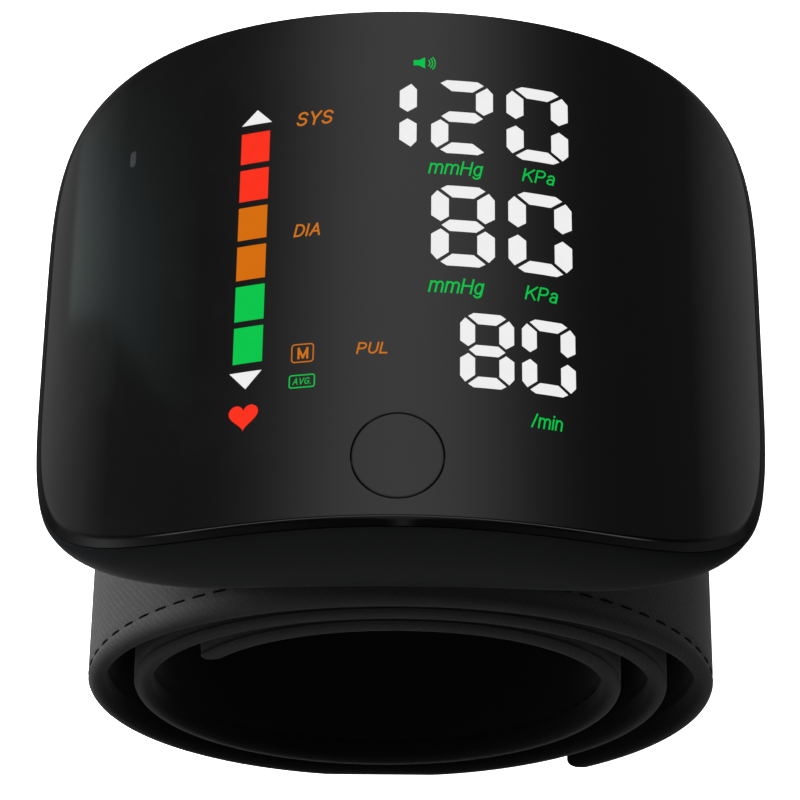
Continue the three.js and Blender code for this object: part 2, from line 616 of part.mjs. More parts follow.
// Indicator: a slot-shaped light pipe, flush with the face, its flange under the ceiling
function indicatorLens() {
  const [width, length] = INDICATOR_SIZE;
  const flange = 2 * GAP;
  const edge = Math.abs(indicatorX) + width / 2 + 2 * flange;
  const shoulder = ceilingZ(edge) - GAP;
  const pipe = box([-width / 2, -length / 2, shoulder - flange], [width, length, CASE_DEPTH]);
  const collar = box(
    [-width / 2 - 2 * flange, -length / 2 - flange, shoulder - flange],
    [width + 4 * flange, length + 2 * flange, flange]);
  const blank = join(pipe, collar).translate(indicatorX, indicatorY, 0);
  const wide = HALF_WIDTH - CASE_WALL;
  return common(blank, archedBlock(wide, -HALF_LENGTH, HALF_LENGTH, () => CASE_BOTTOM - WING, GAP / 2));
}
add('indicator_lens', indicatorLens(), CLEAR_PLASTIC);

// Battery and charging socket under the main board
const batteryNear = BOARD_NEAR + 4 * TUBE_RADIUS + 9 * GAP;
const batteryLength = chipNear - 2 * GAP - batteryNear;
add('battery', box(
  [-BATTERY_WIDTH / 2, batteryNear, SEAT_Z], [BATTERY_WIDTH, batteryLength, BATTERY_THICK]), FOIL);

function usbSocket() {
  const [width, length, height] = USB_SIZE;
  const shell = box([-width / 2, usbFace - length, SEAT_Z], USB_SIZE);
  const mouth = box(
    [-width / 2 + GAP, usbFace - length + CASE_FLOOR, SEAT_Z + GAP],
    [width - 2 * GAP, length, height - 2 * GAP]);
  const tongue = box(
    [-width / 2 + 4 * GAP, usbFace - length + GAP, SEAT_Z + height / 2 - GAP],
    [width - 8 * GAP, length - 4 * GAP, 2 * GAP]);
  return join(cut(shell, mouth), tongue);
}
add('usb_socket', usbSocket(), STEEL);

// Speaker over its grille in the floor
add('speaker', turned([
  [0, 0],
  [SPEAKER_RADIUS, 0],
  [SPEAKER_RADIUS, SPEAKER_THICK / 2],
  [0.7 * SPEAKER_RADIUS, SPEAKER_THICK],
  [0, SPEAKER_THICK],
]), RUBBER).position.set(speakerX, SPEAKER_Y, SEAT_Z);

// Pump: a small motor turning an eccentric inside the pump head, along X under the button
const pump = new THREE.Group();
pump.position.set(0, BUTTON_Y, PUMP_Z);
monitor.add(pump);
const shaftLeft = HEAD_LEFT - GAP - 2 * ECCENTRIC_RADIUS;
const eccentricLeft = HEAD_LEFT + 4 * GAP;
const headRoom = eccentricLeft + ECCENTRIC_WIDTH + 2 * GAP - HEAD_LEFT;
add('pump_motor', cut(
  bar('x', [MOTOR_LEFT, 0, 0], PUMP_RADIUS, MOTOR_LENGTH),
  bar('x', [shaftLeft - GAP, 0, 0], SHAFT_RADIUS + GAP, MOTOR_LENGTH, SHAFT_SIDES)), STEEL, pump);
add('pump_head', cut(
  box([HEAD_LEFT, -PUMP_RADIUS, -PUMP_RADIUS], [HEAD_LENGTH, 2 * PUMP_RADIUS, 2 * PUMP_RADIUS]),
  bar('x', [HEAD_LEFT - GAP, 0, 0], ECCENTRIC_RADIUS + ECCENTRIC_THROW + GAP, headRoom + GAP)),
WHITE_PLASTIC, pump);
add('pump_shaft', join(
  bar('x', [shaftLeft, 0, 0], SHAFT_RADIUS, eccentricLeft + ECCENTRIC_WIDTH - shaftLeft, SHAFT_SIDES),
  bar('x', [eccentricLeft, 0, ECCENTRIC_THROW], ECCENTRIC_RADIUS, ECCENTRIC_WIDTH, PUMP_SIDES)),
STEEL, pump);

// Air release valve: body, pin and return spring along Y
const valve = new THREE.Group();
valve.position.set(BAY_X, VALVE_Y, SEAT_Z);
monitor.add(valve);
const [valveWidth, valveLength, valveHeight] = VALVE_SIZE;
const pinAt = [valveWidth / 2, valveHeight / 2];
const pinDepth = valveLength / 3;
const pinFoot = valveLength - pinDepth + VALVE_TRAVEL + GAP;
const pinHead = valveLength + VALVE_SPRING_LENGTH + 2 * GAP;
const pinHeadRadius = VALVE_PIN_RADIUS + 3 * GAP;
add('valve_body', cut(
  box([0, 0, 0], VALVE_SIZE),
  bar('y', [pinAt[0], valveLength - pinDepth, pinAt[1]], VALVE_PIN_RADIUS + GAP, valveLength, SHAFT_SIDES)),
RUBBER, valve);
add('valve_plunger', join(
  bar('y', [pinAt[0], pinFoot, pinAt[1]], VALVE_PIN_RADIUS, pinHead - pinFoot + GAP, SHAFT_SIDES),
  bar('y', [pinAt[0], pinHead, pinAt[1]], pinHeadRadius, 2 * GAP, SHAFT_SIDES)), STEEL, valve);
const springRadius = VALVE_PIN_RADIUS + GAP + SPRING_WIRE;
const springSteps = 8 * SPRING_TURNS;
const springPoints = Array.from({ length: springSteps + 1 }, (_, i) => {
  const angle = (2 * Math.PI * i) / 8;
  const rise = valveLength + GAP + SPRING_WIRE;
  return [
    pinAt[0] + springRadius * Math.cos(angle),
    rise + ((VALVE_SPRING_LENGTH - 2 * SPRING_WIRE) * i) / springSteps,
    pinAt[1] + springRadius * Math.sin(angle),
  ];
});
add('valve_spring', tube(springPoints, SPRING_WIRE, springSteps, 5), STEEL, valve);

// Air path: manifold, sensor, nozzle with its seal, and the tubes between them
const manifoldFar = BOARD_NEAR + MANIFOLD_SIZE[1];
const tubeZ = SEAT_Z + MANIFOLD_SIZE[2] / 2;
const valveTubeX = BAY_X + valveWidth / 2 - 2 * GAP;
const sensorX = valveTubeX + TUBE_RADIUS + GAP;
const sensorNear = manifoldFar + SENSOR_TUBE + 2 * GAP;
const sensorTubeX = sensorX + TUBE_RADIUS + GAP;
add('air_manifold', box([BAY_X, BOARD_NEAR, SEAT_Z], MANIFOLD_SIZE), SILICONE);
add('pressure_sensor', box([sensorX, sensorNear, SEAT_Z], SENSOR_SIZE), RUBBER);
add('air_tube_sensor', bar(
  'y', [sensorTubeX, manifoldFar + GAP, tubeZ], TUBE_RADIUS, SENSOR_TUBE, TUBE_SIDES), SILICONE);
add('air_tube_valve', bar(
  'y', [valveTubeX, manifoldFar + GAP, tubeZ], TUBE_RADIUS, VALVE_Y - manifoldFar - 2 * GAP, TUBE_SIDES),
SILICONE);
const headRight = HEAD_LEFT + HEAD_LENGTH;
const pumpTubeX = BAY_X + MANIFOLD_SIZE[0] / 2 - GAP;
add('air_tube_pump', tube([
  [headRight + GAP, BUTTON_Y, PUMP_Z - 2 * GAP],
  [headRight + PUMP_TUBE_BEND, BUTTON_Y, PUMP_Z - 3 * GAP],
  [pumpTubeX - PUMP_TUBE_BEND, BUTTON_Y + PUMP_TUBE_BEND / 2, tubeZ + GAP],
  [pumpTubeX, BOARD_NEAR - PUMP_TUBE_BEND, tubeZ],
  [pumpTubeX, BOARD_NEAR - GAP, tubeZ],
], TUBE_RADIUS, 12), SILICONE);

const nozzleFloor = rollTopZ(NOZZLE_X + NOZZLE_RADIUS, OUTER_CLOTH + LAYER_GAP) + LAYER_GAP;
const nozzleFlangeZ = SEAT_Z + NOZZLE_SEAL + GAP;
const nozzleTop = BOARD_Z - GAP;
const nozzlePortZ = (nozzleFlangeZ + NOZZLE_FLANGE + nozzleTop) / 2;
function cuffNozzle() {
  const body = turned([
    [0, nozzleFloor],
    [NOZZLE_RADIUS, nozzleFloor],
    [NOZZLE_RADIUS, nozzleFlangeZ],
    [NOZZLE_FLANGE_RADIUS, nozzleFlangeZ],
    [NOZZLE_FLANGE_RADIUS, nozzleFlangeZ + NOZZLE_FLANGE],
    [NOZZLE_BODY, nozzleFlangeZ + NOZZLE_FLANGE],
    [NOZZLE_BODY, nozzleTop],
    [0, nozzleTop],
  ], SMALL_SIDES).translate(NOZZLE_X, NOZZLE_Y, 0);
  return cut(
    body,
    bar(
      'z', [NOZZLE_X, NOZZLE_Y, nozzleFloor - GAP],
      NOZZLE_BORE, nozzlePortZ - nozzleFloor + GAP, SMALL_SIDES),
    bar(
      'y', [NOZZLE_X, NOZZLE_Y - 2 * NOZZLE_BODY, nozzlePortZ],
      NOZZLE_BORE, 2 * NOZZLE_BODY, SMALL_SIDES));
}
add('cuff_nozzle', cuffNozzle(), WHITE_PLASTIC);
add('nozzle_seal', cut(
  bar('z', [NOZZLE_X, NOZZLE_Y, SEAT_Z], NOZZLE_FLANGE_RADIUS, NOZZLE_SEAL, SMALL_SIDES),
  bar('z', [NOZZLE_X, NOZZLE_Y, FLOOR_Z], NOZZLE_RADIUS + GAP, CASE_DEPTH, SMALL_SIDES)), RUBBER);
const crossingY = BOARD_NEAR + 2 * POST_INSET + TUBE_RADIUS;
add('air_tube_cuff', tube([
  [BAY_X - GAP, crossingY, tubeZ],
  [NOZZLE_X + 4.8 * CUFF_TUBE_CORNER, crossingY, tubeZ],
  [NOZZLE_X + CUFF_TUBE_CORNER, crossingY, tubeZ],
  [
    NOZZLE_X + 0.32 * CUFF_TUBE_CORNER,
    crossingY + 0.18 * CUFF_TUBE_CORNER,
    tubeZ + 0.04 * CUFF_TUBE_CORNER,
  ],
  [NOZZLE_X, crossingY + 0.68 * CUFF_TUBE_CORNER, nozzlePortZ - 0.02 * CUFF_TUBE_CORNER],
  [NOZZLE_X, NOZZLE_Y - NOZZLE_BODY - GAP, nozzlePortZ],
], TUBE_RADIUS, 22), SILICONE);

// Rolled cuff: two cloths with the bladder and the stay between them
const fillingDepth = OUTER_CLOTH + LAYER_GAP;
const liningDepth = fillingDepth + FILLING + LAYER_GAP;
const clothEnd = FLAP_START - (2 * GAP) / (Math.PI * (ROLL_HALF_WIDTH + ROLL_DROP) / 2);
const fillingWidth = CUFF_WIDTH - 2 * FILLING_MARGIN;
const studHoles = studSites.map(([x, y]) =>
  bar('z', [x, y, rollTopZ(Math.abs(x), BAND) - 2 * GAP], STUD_RADIUS + GAP, CASE_DEPTH, SMALL_SIDES));
const portHole = bar(
  'z', [NOZZLE_X, NOZZLE_Y, rollTopZ(NOZZLE_X, BAND)], NOZZLE_RADIUS + GAP, CASE_DEPTH, SMALL_SIDES);
add('cuff_outer_cloth', cut(
  layer(INNER_END, clothEnd, 0, OUTER_CLOTH, CUFF_WIDTH), ...studHoles, portHole), DARK_CLOTH);
add('cuff_inner_cloth', cut(
  layer(INNER_END, clothEnd, liningDepth, BAND, CUFF_WIDTH), ...studHoles), LINING_CLOTH);
add('cuff_stay', layer(
  INNER_END, STAY_END, fillingDepth, fillingDepth + FILLING, fillingWidth), FILM_PLASTIC);
add('cuff_bladder', layer(
  BLADDER_START, BLADDER_END, fillingDepth, fillingDepth + FILLING, fillingWidth), RUBBER);
add('cuff_flap', layer(FLAP_START, FLAP_END, 0, BAND, CUFF_WIDTH), DARK_CLOTH);
add('hook_patch', layer(
  HOOK_START, FLAP_END, BAND + LAYER_GAP, BAND + LAYER_GAP + HOOK_PATCH, CUFF_WIDTH - 2 * HOOK_MARGIN),
RUBBER);

// Plate inside the roll whose studs pass through the cuff into the case
function cuffMountPlate() {
  const outer = BAND + LAYER_GAP;
  const [from, to] = [4.5 - PLATE_REACH / 2, 4.5 + PLATE_REACH / 2];
  const plate = layer(from, to, outer, outer + PLATE_THICK, PLATE_LENGTH);
  const studs = studSites.map(([x, y]) => {
    const foot = rollTopZ(Math.abs(x), outer + PLATE_THICK / 2);
    return bar('z', [x, y, foot], STUD_RADIUS, CASE_BOTTOM + STUD_DEPTH - GAP - foot, SMALL_SIDES);
  });
  return join(plate, ...studs);
}
add('cuff_mount_plate', cuffMountPlate(), MATT_BLACK);

console.log(`least gap between turns ${leastTurnGap().toFixed(2)} mm`);

export default monitor;
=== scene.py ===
"""Looks of a wrist blood pressure monitor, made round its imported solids.

Lengths are in millimetres until a mesh is made. X runs across the wrist, Y along it and away
from the reader, Z up; the rolled cuff stands on z = 0.
"""
import math

import bpy
import numpy as np
from mathutils import Matrix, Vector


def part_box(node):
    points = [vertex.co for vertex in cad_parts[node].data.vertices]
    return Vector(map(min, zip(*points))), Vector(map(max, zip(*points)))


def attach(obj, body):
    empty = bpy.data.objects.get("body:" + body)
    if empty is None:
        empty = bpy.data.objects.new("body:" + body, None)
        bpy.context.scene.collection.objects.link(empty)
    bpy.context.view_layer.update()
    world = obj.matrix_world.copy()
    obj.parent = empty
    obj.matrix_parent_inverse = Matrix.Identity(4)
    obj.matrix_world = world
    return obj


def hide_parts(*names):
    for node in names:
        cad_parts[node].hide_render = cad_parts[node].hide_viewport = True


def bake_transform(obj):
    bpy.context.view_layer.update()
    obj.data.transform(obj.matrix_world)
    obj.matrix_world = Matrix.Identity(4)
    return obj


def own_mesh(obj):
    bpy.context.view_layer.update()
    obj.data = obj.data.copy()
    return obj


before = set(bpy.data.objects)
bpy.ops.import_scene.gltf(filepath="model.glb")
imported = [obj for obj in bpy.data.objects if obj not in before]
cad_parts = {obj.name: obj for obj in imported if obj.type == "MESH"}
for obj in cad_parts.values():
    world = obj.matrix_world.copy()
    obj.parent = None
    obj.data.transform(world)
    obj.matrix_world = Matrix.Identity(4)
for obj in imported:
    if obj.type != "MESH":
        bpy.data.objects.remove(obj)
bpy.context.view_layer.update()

MM = 0.001

# Case, as in the solids
HALF_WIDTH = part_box("front_cover")[1].x / MM
HALF_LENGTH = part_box("front_cover")[1].y / MM
PLAN_POWER = 5.0
FACE_DROP = 17.85
CROWN_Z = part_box("front_cover")[1].z / MM
ARCH_RADIUS = (HALF_WIDTH ** 2 + FACE_DROP ** 2) / (2 * FACE_DROP)
ARCH_Z = CROWN_Z - ARCH_RADIUS
BEVEL_WIDTH = 0.6
BEVEL_DROP = 0.9
COVER_WALL = 1.2
CASE_WALL = 1.2
CASE_FLOOR = 1.5
CASE_TAPER = 0.25
CASE_BOTTOM = 51.2
WING_DROP = 3.86  # underside below the face at the two sides
WING_WALL = 1.3
PART_GAP = 0.3  # joint between cover and case
AROUND = np.linspace(0, 2 * np.pi, 360, endpoint=False)

# Button and indicator
BUTTON_Y = -21.7
BUTTON_RADIUS = 4.35
BUTTON_HOLE = 4.42
FLANGE_RADIUS = 5.1
FLANGE = 0.7
STEM_LENGTH = 2.1
STEM_RADIUS = 1.5
INDICATOR_AT = (-27.4, 15.7)
INDICATOR_SIZE = (0.6, 1.8)

# Rolled cuff, as in the solids; places along it are in half turns from the inside
ROLL_HALF_WIDTH = 32.7
ROLL_RISE = 24.7
ROLL_DROP = 26.7
ROLL_POWER = 2.03
PITCH_SIDE = 4.8
PITCH_TOP = 3.15
PITCH_BOTTOM = 3.85
ROLL_Z = 26.2
BAND = 1.9
CUFF_WIDTH = 58.6
INNER_END = 0.168
WRAP_START = 4.5  # the outermost stretch, which the flap belongs to, starts under the case
FLAP_END = 5.28
HOOK_START = 5.12
HOOK_END = 5.27
HOOK_MARGIN = 5.0


# Meshes

def grid_faces(rows, columns, ring_rows=False, ring_columns=False):
    """Corner numbers of the quads between neighbouring points of a grid, rings closed on request."""
    r, c = np.meshgrid(
        np.arange(rows if ring_rows else rows - 1),
        np.arange(columns if ring_columns else columns - 1), indexing="ij")
    r_next, c_next = (r + 1) % rows, (c + 1) % columns
    corners = [r * columns + c, r * columns + c_next, r_next * columns + c_next, r_next * columns + c]
    return np.stack(corners, -1).reshape(-1, 4)


def fan_faces(ring, centre):
    """Triangles from a ring of point numbers to one centre point."""
    return np.stack([ring, np.roll(ring, -1), np.full_like(ring, centre)], -1)


def capped_tube(rings):
    """Points and faces of a stack of closed rings, each end closed by a fan to the end ring's middle."""
    rows, columns = rings.shape[:2]
    points = np.concatenate([rings.reshape(-1, 3), rings[:1].mean(1), rings[-1:].mean(1)])
    first = np.arange(columns)
    last = first + (rows - 1) * columns
    faces = grid_faces(rows, columns, ring_columns=True).tolist()
    faces += fan_faces(first[::-1], rows * columns).tolist()
    faces += fan_faces(last, rows * columns + 1).tolist()
    return points, faces


def make(name, points, faces, coat, uv=None, wrap=0.0, sharp=40.0):
    """A mesh object from points in mm and faces; a closed shape is turned so that its volume is positive.
    Where the map's second part starts again round a closed section, wrap carries it on over that face."""
    points = np.asarray(points, float).reshape(-1, 3)
    faces = faces.tolist() if isinstance(faces, np.ndarray) else faces
    first = np.array([face[:3] for face in faces])
    last = np.array([[face[0], face[2], face[-1]] for face in faces])
    a, b, c = (points[np.concatenate([first[:, i], last[:, i]])] for i in range(3))
    if np.einsum("ij,ij->", a, np.cross(b, c)) < 0:
        faces = [face[::-1] for face in faces]
    mesh = bpy.data.meshes.new(name)
    mesh.from_pydata((points * MM).tolist(), [], faces)
    mesh.polygons.foreach_set("use_smooth", np.ones(len(faces), bool))
    mesh.set_sharp_from_angle(angle=math.radians(sharp))
    if uv is not None:
        corner = np.zeros(len(mesh.loops), np.int32)
        mesh.loops.foreach_get("vertex_index", corner)
        spread = np.asarray(uv, np.float32)[corner]
        starts = np.cumsum([0] + [len(face) for face in faces[:-1]])
        highest = np.repeat(np.maximum.reduceat(spread[:, 1], starts), [len(face) for face in faces])
        spread[:, 1] += wrap * (highest - spread[:, 1] > wrap / 2)
        mesh.uv_layers.new(name="cloth").data.foreach_set("uv", spread.ravel())
    mesh.update()
    mesh.materials.append(coat)
    obj = bpy.data.objects.new(name, mesh)
    bpy.context.scene.collection.objects.link(obj)
    return obj


def dressed(obj, slot, *nodes):
    """The piece stands for the nodes named, and hides them. The slot is not used."""
    if nodes:
        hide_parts(*nodes)
    return obj


def settle(obj, body, slot, *nodes):
    """A piece that rides on one body."""
    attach(obj, body)
    return dressed(obj, slot, *nodes)


def arch(x, depth=0.0):
    """Height of the face at x, a circle about the arch's axis, or of the same circle drawn in by depth."""
    return ARCH_Z + np.sqrt(np.maximum((ARCH_RADIUS - depth) ** 2 - x * x, 0))


def outline(inset):
    """Plan of the case drawn in by inset: |x/a|^p + |y/b|^p = 1, as a reach along each angle."""
    across, along = np.cos(AROUND), np.sin(AROUND)
    a, b = HALF_WIDTH - inset, HALF_LENGTH - inset
    reach = (np.abs(across / a) ** PLAN_POWER + np.abs(along / b) ** PLAN_POWER) ** (-1 / PLAN_POWER)
    return reach * across, reach * along


def parting(inset, drop=0.0):
    """A ring on the joint between cover and case, which runs along under the arch."""
    x, y = outline(inset)
    return ring(x, y, arch(x) - BEVEL_DROP - drop)


def bend(start, corner, end, steps):
    """Points of a quadratic curve from start to end that leans towards the corner between them."""
    t = np.linspace(0, 1, steps)[:, None, None]
    return (1 - t) ** 2 * start + 2 * t * (1 - t) * corner + t ** 2 * end


def ring(x, y, z):
    """One closed ring of points, with a height for each point or one for all."""
    return np.stack([x, y, np.broadcast_to(z, x.shape)], -1)


# Finishes

def place(tree, kind, inputs=None, **settings):
    """A node with its settings made and its inputs linked or set."""
    node = tree.nodes.new(kind)
    for key, value in settings.items():
        setattr(node, key, value)
    for key, value in (inputs or {}).items():
        if isinstance(value, bpy.types.NodeSocket):
            tree.links.new(value, node.inputs[key])
        else:
            node.inputs[key].default_value = value
    return node


def sums(tree, operation, *values):
    """The result of one arithmetic step on values or sockets."""
    return place(tree, "ShaderNodeMath", dict(enumerate(values)), operation=operation).outputs[0]


def ramp(tree, value, low, high, first, last):
    """A value carried straight from first to last as its source goes from low to high."""
    return place(tree, "ShaderNodeMapRange", {
        "Value": value, "From Min": low, "From Max": high, "To Min": first, "To Max": last}).outputs[0]


def span(tree, value, low, high):
    """A mask from 0 to 1 stretched to run from low to high."""
    return ramp(tree, value, 0, 1, low, high)


def between(tree, mask, dark, light):
    """A colour that goes from dark to light with the mask."""
    node = place(tree, "ShaderNodeMix", {"Factor": mask}, data_type="RGBA")
    node.inputs["A"].default_value = (*dark, 1)
    node.inputs["B"].default_value = (*light, 1)
    return node.outputs["Result"]


def effect(name, inputs, outputs):
    """An empty node group with its named sockets, and its two end nodes."""
    tree = bpy.data.node_groups.new(name, "ShaderNodeTree")
    for socket, kind, value in inputs:
        made = tree.interface.new_socket(name=socket, in_out="INPUT", socket_type=kind)
        if value is not None:
            made.default_value = value
    for socket in outputs:
        tree.interface.new_socket(name=socket, in_out="OUTPUT", socket_type="NodeSocketFloat")
    return tree, tree.nodes.new("NodeGroupInput"), tree.nodes.new("NodeGroupOutput")


def moulded_grain():
    """Fine spark-eroded grain: a small noise for height, and a broad one for tone."""
    tree, start, end = effect(
        "moulded grain", [("Vector", "NodeSocketVector", None), ("Scale", "NodeSocketFloat", 2500.0)],
        ["Height", "Tone"])
    fine = place(tree, "ShaderNodeTexNoise", {
        "Vector": start.outputs["Vector"], "Scale": start.outputs["Scale"], "Detail": 3.0})
    broad = place(tree, "ShaderNodeTexNoise", {
        "Vector": start.outputs["Vector"], "Scale": 90.0, "Detail": 4.0})
    tree.links.new(fine.outputs["Fac"], end.inputs["Height"])
    tree.links.new(broad.outputs["Fac"], end.inputs["Tone"])
    return tree


def handling_marks():
    """Faint smears of handling: a broad noise bent by another, kept only where it is strong."""
    tree, start, end = effect(
        "handling marks", [("Vector", "NodeSocketVector", None), ("Scale", "NodeSocketFloat", 60.0)],
        ["Mask"])
    smear = place(tree, "ShaderNodeTexNoise", {
        "Vector": start.outputs["Vector"], "Scale": start.outputs["Scale"],
        "Detail": 5.0, "Roughness": 0.65, "Distortion": 1.5})
    kept = place(tree, "ShaderNodeMapRange", {
        "Value": smear.outputs["Fac"], "From Min": 0.45, "From Max": 0.75}, interpolation_type="SMOOTHSTEP")
    tree.links.new(kept.outputs[0], end.inputs["Mask"])
    return tree


def twill_weave():
    """Two-over-two twill on the cloth's own map: where the diagonal runs, threads along it lie on top,
    elsewhere the threads across it do; each thread is the upper half of a sine."""
    tree, start, end = effect(
        "twill weave", [("Vector", "NodeSocketVector", None), ("Pitch", "NodeSocketFloat", 0.05)],
        ["Height", "Rib"])
    scaled = place(tree, "ShaderNodeVectorMath", {0: start.outputs["Vector"]}, operation="DIVIDE")
    spread = place(tree, "ShaderNodeCombineXYZ", {
        "X": start.outputs["Pitch"], "Y": start.outputs["Pitch"], "Z": 1.0})
    tree.links.new(spread.outputs[0], scaled.inputs[1])
    parts = place(tree, "ShaderNodeSeparateXYZ", {0: scaled.outputs[0]})
    u, v = parts.outputs["X"], parts.outputs["Y"]
    diagonal = sums(tree, "FRACT", sums(tree, "MULTIPLY", sums(tree, "ADD", u, v), 0.25))
    off = sums(tree, "ABSOLUTE", sums(tree, "SUBTRACT", diagonal, 0.5))
    upper = ramp(tree, off, 0.33, 0.17, 0, 1)
    warp = sums(tree, "ABSOLUTE", sums(tree, "SINE", sums(tree, "MULTIPLY", u, math.pi)))
    weft = sums(tree, "ABSOLUTE", sums(tree, "SINE", sums(tree, "MULTIPLY", v, math.pi)))
    low = sums(tree, "MULTIPLY", weft, 0.7)
    height = place(tree, "ShaderNodeMix", {"Factor": upper, 2: low, 3: warp})
    tree.links.new(height.outputs[0], end.inputs["Height"])
    tree.links.new(upper, end.inputs["Rib"])
    return tree


GRAIN = moulded_grain()
HANDLING = handling_marks()
TWILL = twill_weave()


def finish(name, roughness, metallic=0.0, **plain):
    """A material with one shader, its unvarying values set on the shader's own sockets."""
    material = bpy.data.materials.new(name)
    material.use_nodes = True
    shader = material.node_tree.nodes["Principled BSDF"]
    shader.inputs["Roughness"].default_value = roughness
    shader.inputs["Metallic"].default_value = metallic
    for socket, value in plain.items():
        shader.inputs[socket.replace("_", " ")].default_value = value
    return material, material.node_tree, shader


def spot(tree, kind="Object"):
    """The piece's own coordinates, or its cloth map."""
    return place(tree, "ShaderNodeTexCoord").outputs[kind]


def used(tree, group, inputs):
    """One use of a shared effect with its own values."""
    return place(tree, "ShaderNodeGroup", inputs, node_tree=group).outputs


def bumped(tree, shader, height, strength, distance):
    """Surface relief from a height."""
    bump = place(tree, "ShaderNodeBump", {"Height": height, "Strength": strength, "Distance": distance})
    tree.links.new(bump.outputs[0], shader.inputs["Normal"])


def polished(name, dark, light, rough=(0.05, 0.1), **plain):
    """Polished plastic: smears change its roughness and, very little, its colour."""
    material, tree, shader = finish(name, rough[0], **plain)
    mask = used(tree, HANDLING, {"Vector": spot(tree)})["Mask"]
    tree.links.new(between(tree, mask, dark, light), shader.inputs["Base Color"])
    tree.links.new(span(tree, mask, *rough), shader.inputs["Roughness"])
    return material


def moulded(name, dark, light, rough=(0.42, 0.56), relief=0.25, scale=2500.0, **plain):
    """Moulded plastic or rubber: fine grain in relief, broad change of tone and roughness."""
    material, tree, shader = finish(name, rough[0], **plain)
    grain = used(tree, GRAIN, {"Vector": spot(tree), "Scale": scale})
    tree.links.new(between(tree, grain["Tone"], dark, light), shader.inputs["Base Color"])
    tree.links.new(span(tree, grain["Tone"], *rough), shader.inputs["Roughness"])
    bumped(tree, shader, grain["Height"], relief, 0.00006)
    return material


def metal(name, dark, light, rough, stretch, relief=0.08):
    """Metal: streaks along one axis, from a noise whose coordinates are stretched."""
    material, tree, shader = finish(name, rough[0], metallic=1.0)
    drawn = place(tree, "ShaderNodeMapping", {"Vector": spot(tree), "Scale": stretch})
    streaks = used(tree, GRAIN, {"Vector": drawn.outputs[0], "Scale": 900.0})
    tree.links.new(between(tree, streaks["Height"], dark, light), shader.inputs["Base Color"])
    tree.links.new(span(tree, streaks["Height"], *rough), shader.inputs["Roughness"])
    bumped(tree, shader, streaks["Height"], relief, 0.00004)
    return material


def woven(name, pitch, inside, dark, light, relief, sheen, edge, inner_turns):
    """Woven cloth on its own map, in cm: twill relief, with a fuzz of fine noise over it. Shade is painted on
    in the inside colour: on the inner face and the hems, where the map's second part nears and passes the
    edge, and on the inner turns' outer face between the turns, where the first part is short of a given
    length."""
    material, tree, shader = finish(
        name, 0.85, Sheen_Weight=sheen, Sheen_Roughness=0.3, Specular_IOR_Level=0.1)
    cloth_map = spot(tree, "UV")
    sway = place(tree, "ShaderNodeTexNoise", {"Vector": cloth_map, "Scale": 9.0, "Detail": 3.0})
    uneven = place(tree, "ShaderNodeVectorMath", {
        0: sway.outputs["Color"], 1: (0.035, 0.035, 0.0), 2: cloth_map}, operation="MULTIPLY_ADD")
    weave = used(tree, TWILL, {"Vector": uneven.outputs[0], "Pitch": pitch})
    fuzz = used(tree, GRAIN, {"Vector": spot(tree), "Scale": 3600.0})
    mixed = sums(tree, "MULTIPLY", weave["Height"], span(tree, fuzz["Height"], 0.2, 1.3))
    tone = sums(tree, "MULTIPLY", mixed, span(tree, fuzz["Tone"], 0.7, 1.1))
    face = between(tree, tone, dark, light)
    parts = place(tree, "ShaderNodeSeparateXYZ", {0: cloth_map})
    across = sums(tree, "ABSOLUTE", parts.outputs["Y"])
    # Painted shade on the inner face and the hems, from just short of the outer face's edge
    inner_face_shade = ramp(tree, across, edge - 0.06, edge + 0.19, 0, 1)
    # Painted shade on the inner turns' outer face, in the gaps between the turns, short of the outer face's
    # edge
    inner = ramp(tree, parts.outputs["X"], inner_turns, inner_turns + 0.4, 1, 0)
    between_turns_shade = sums(tree, "MULTIPLY", inner, ramp(tree, across, edge - 0.2, edge - 0.03, 1, 0))
    shade = place(tree, "ShaderNodeMix", {"Factor": sums(tree, "MAXIMUM", inner_face_shade, between_turns_shade)}, data_type="RGBA")
    tree.links.new(face, shade.inputs["A"])
    shade.inputs["B"].default_value = (*inside, 1)
    tree.links.new(shade.outputs["Result"], shader.inputs["Base Color"])
    tree.links.new(span(tree, mixed, 0.95, 0.75), shader.inputs["Roughness"])
    bumped(tree, shader, mixed, relief, 0.00008)
    return material


def lit(name, colour, strength):
    """A lit mark seen through the polished cover, with diffuser mottling in its light."""
    material, tree, shader = finish(name, 0.3, Emission_Strength=strength, Specular_IOR_Level=0.0)
    shader.inputs["Base Color"].default_value = (0.002, 0.002, 0.002, 1)
    mottle = used(tree, GRAIN, {"Vector": spot(tree), "Scale": 700.0})
    dim = tuple(0.94 * part for part in colour)
    tree.links.new(between(tree, mottle["Height"], dim, colour), shader.inputs["Emission Color"])
    return material


def printed_board(name):
    """Circuit board: copper tracks under green mask, from the edges of a blocky cell pattern."""
    material, tree, shader = finish(name, 0.35)
    cells = place(tree, "ShaderNodeTexVoronoi", {
        "Vector": spot(tree), "Scale": 420.0}, feature="F1", distance="MANHATTAN")
    ripple = sums(tree, "FRACT", sums(tree, "MULTIPLY", cells.outputs["Distance"], 3.0))
    track = ramp(tree, ripple, 0.45, 0.55, 0, 1)
    tree.links.new(
        between(tree, track, (0.006, 0.05, 0.02), (0.016, 0.1, 0.045)), shader.inputs["Base Color"])
    tree.links.new(span(tree, track, 0.42, 0.3), shader.inputs["Roughness"])
    bumped(tree, shader, track, 0.2, 0.00004)
    return material


def creased_foil(name):
    """Pouch foil: broad creases in relief, a dull metal."""
    material, tree, shader = finish(name, 0.35, metallic=1.0)
    crease = place(tree, "ShaderNodeTexVoronoi", {
        "Vector": spot(tree), "Scale": 160.0, "Randomness": 0.8}, feature="SMOOTH_F1")
    tree.links.new(
        between(tree, crease.outputs["Distance"], (0.5, 0.51, 0.53), (0.66, 0.67, 0.69)),
        shader.inputs["Base Color"])
    tree.links.new(span(tree, crease.outputs["Distance"], 0.28, 0.45), shader.inputs["Roughness"])
    bumped(tree, shader, crease.outputs["Distance"], 0.3, 0.0002)
    return material


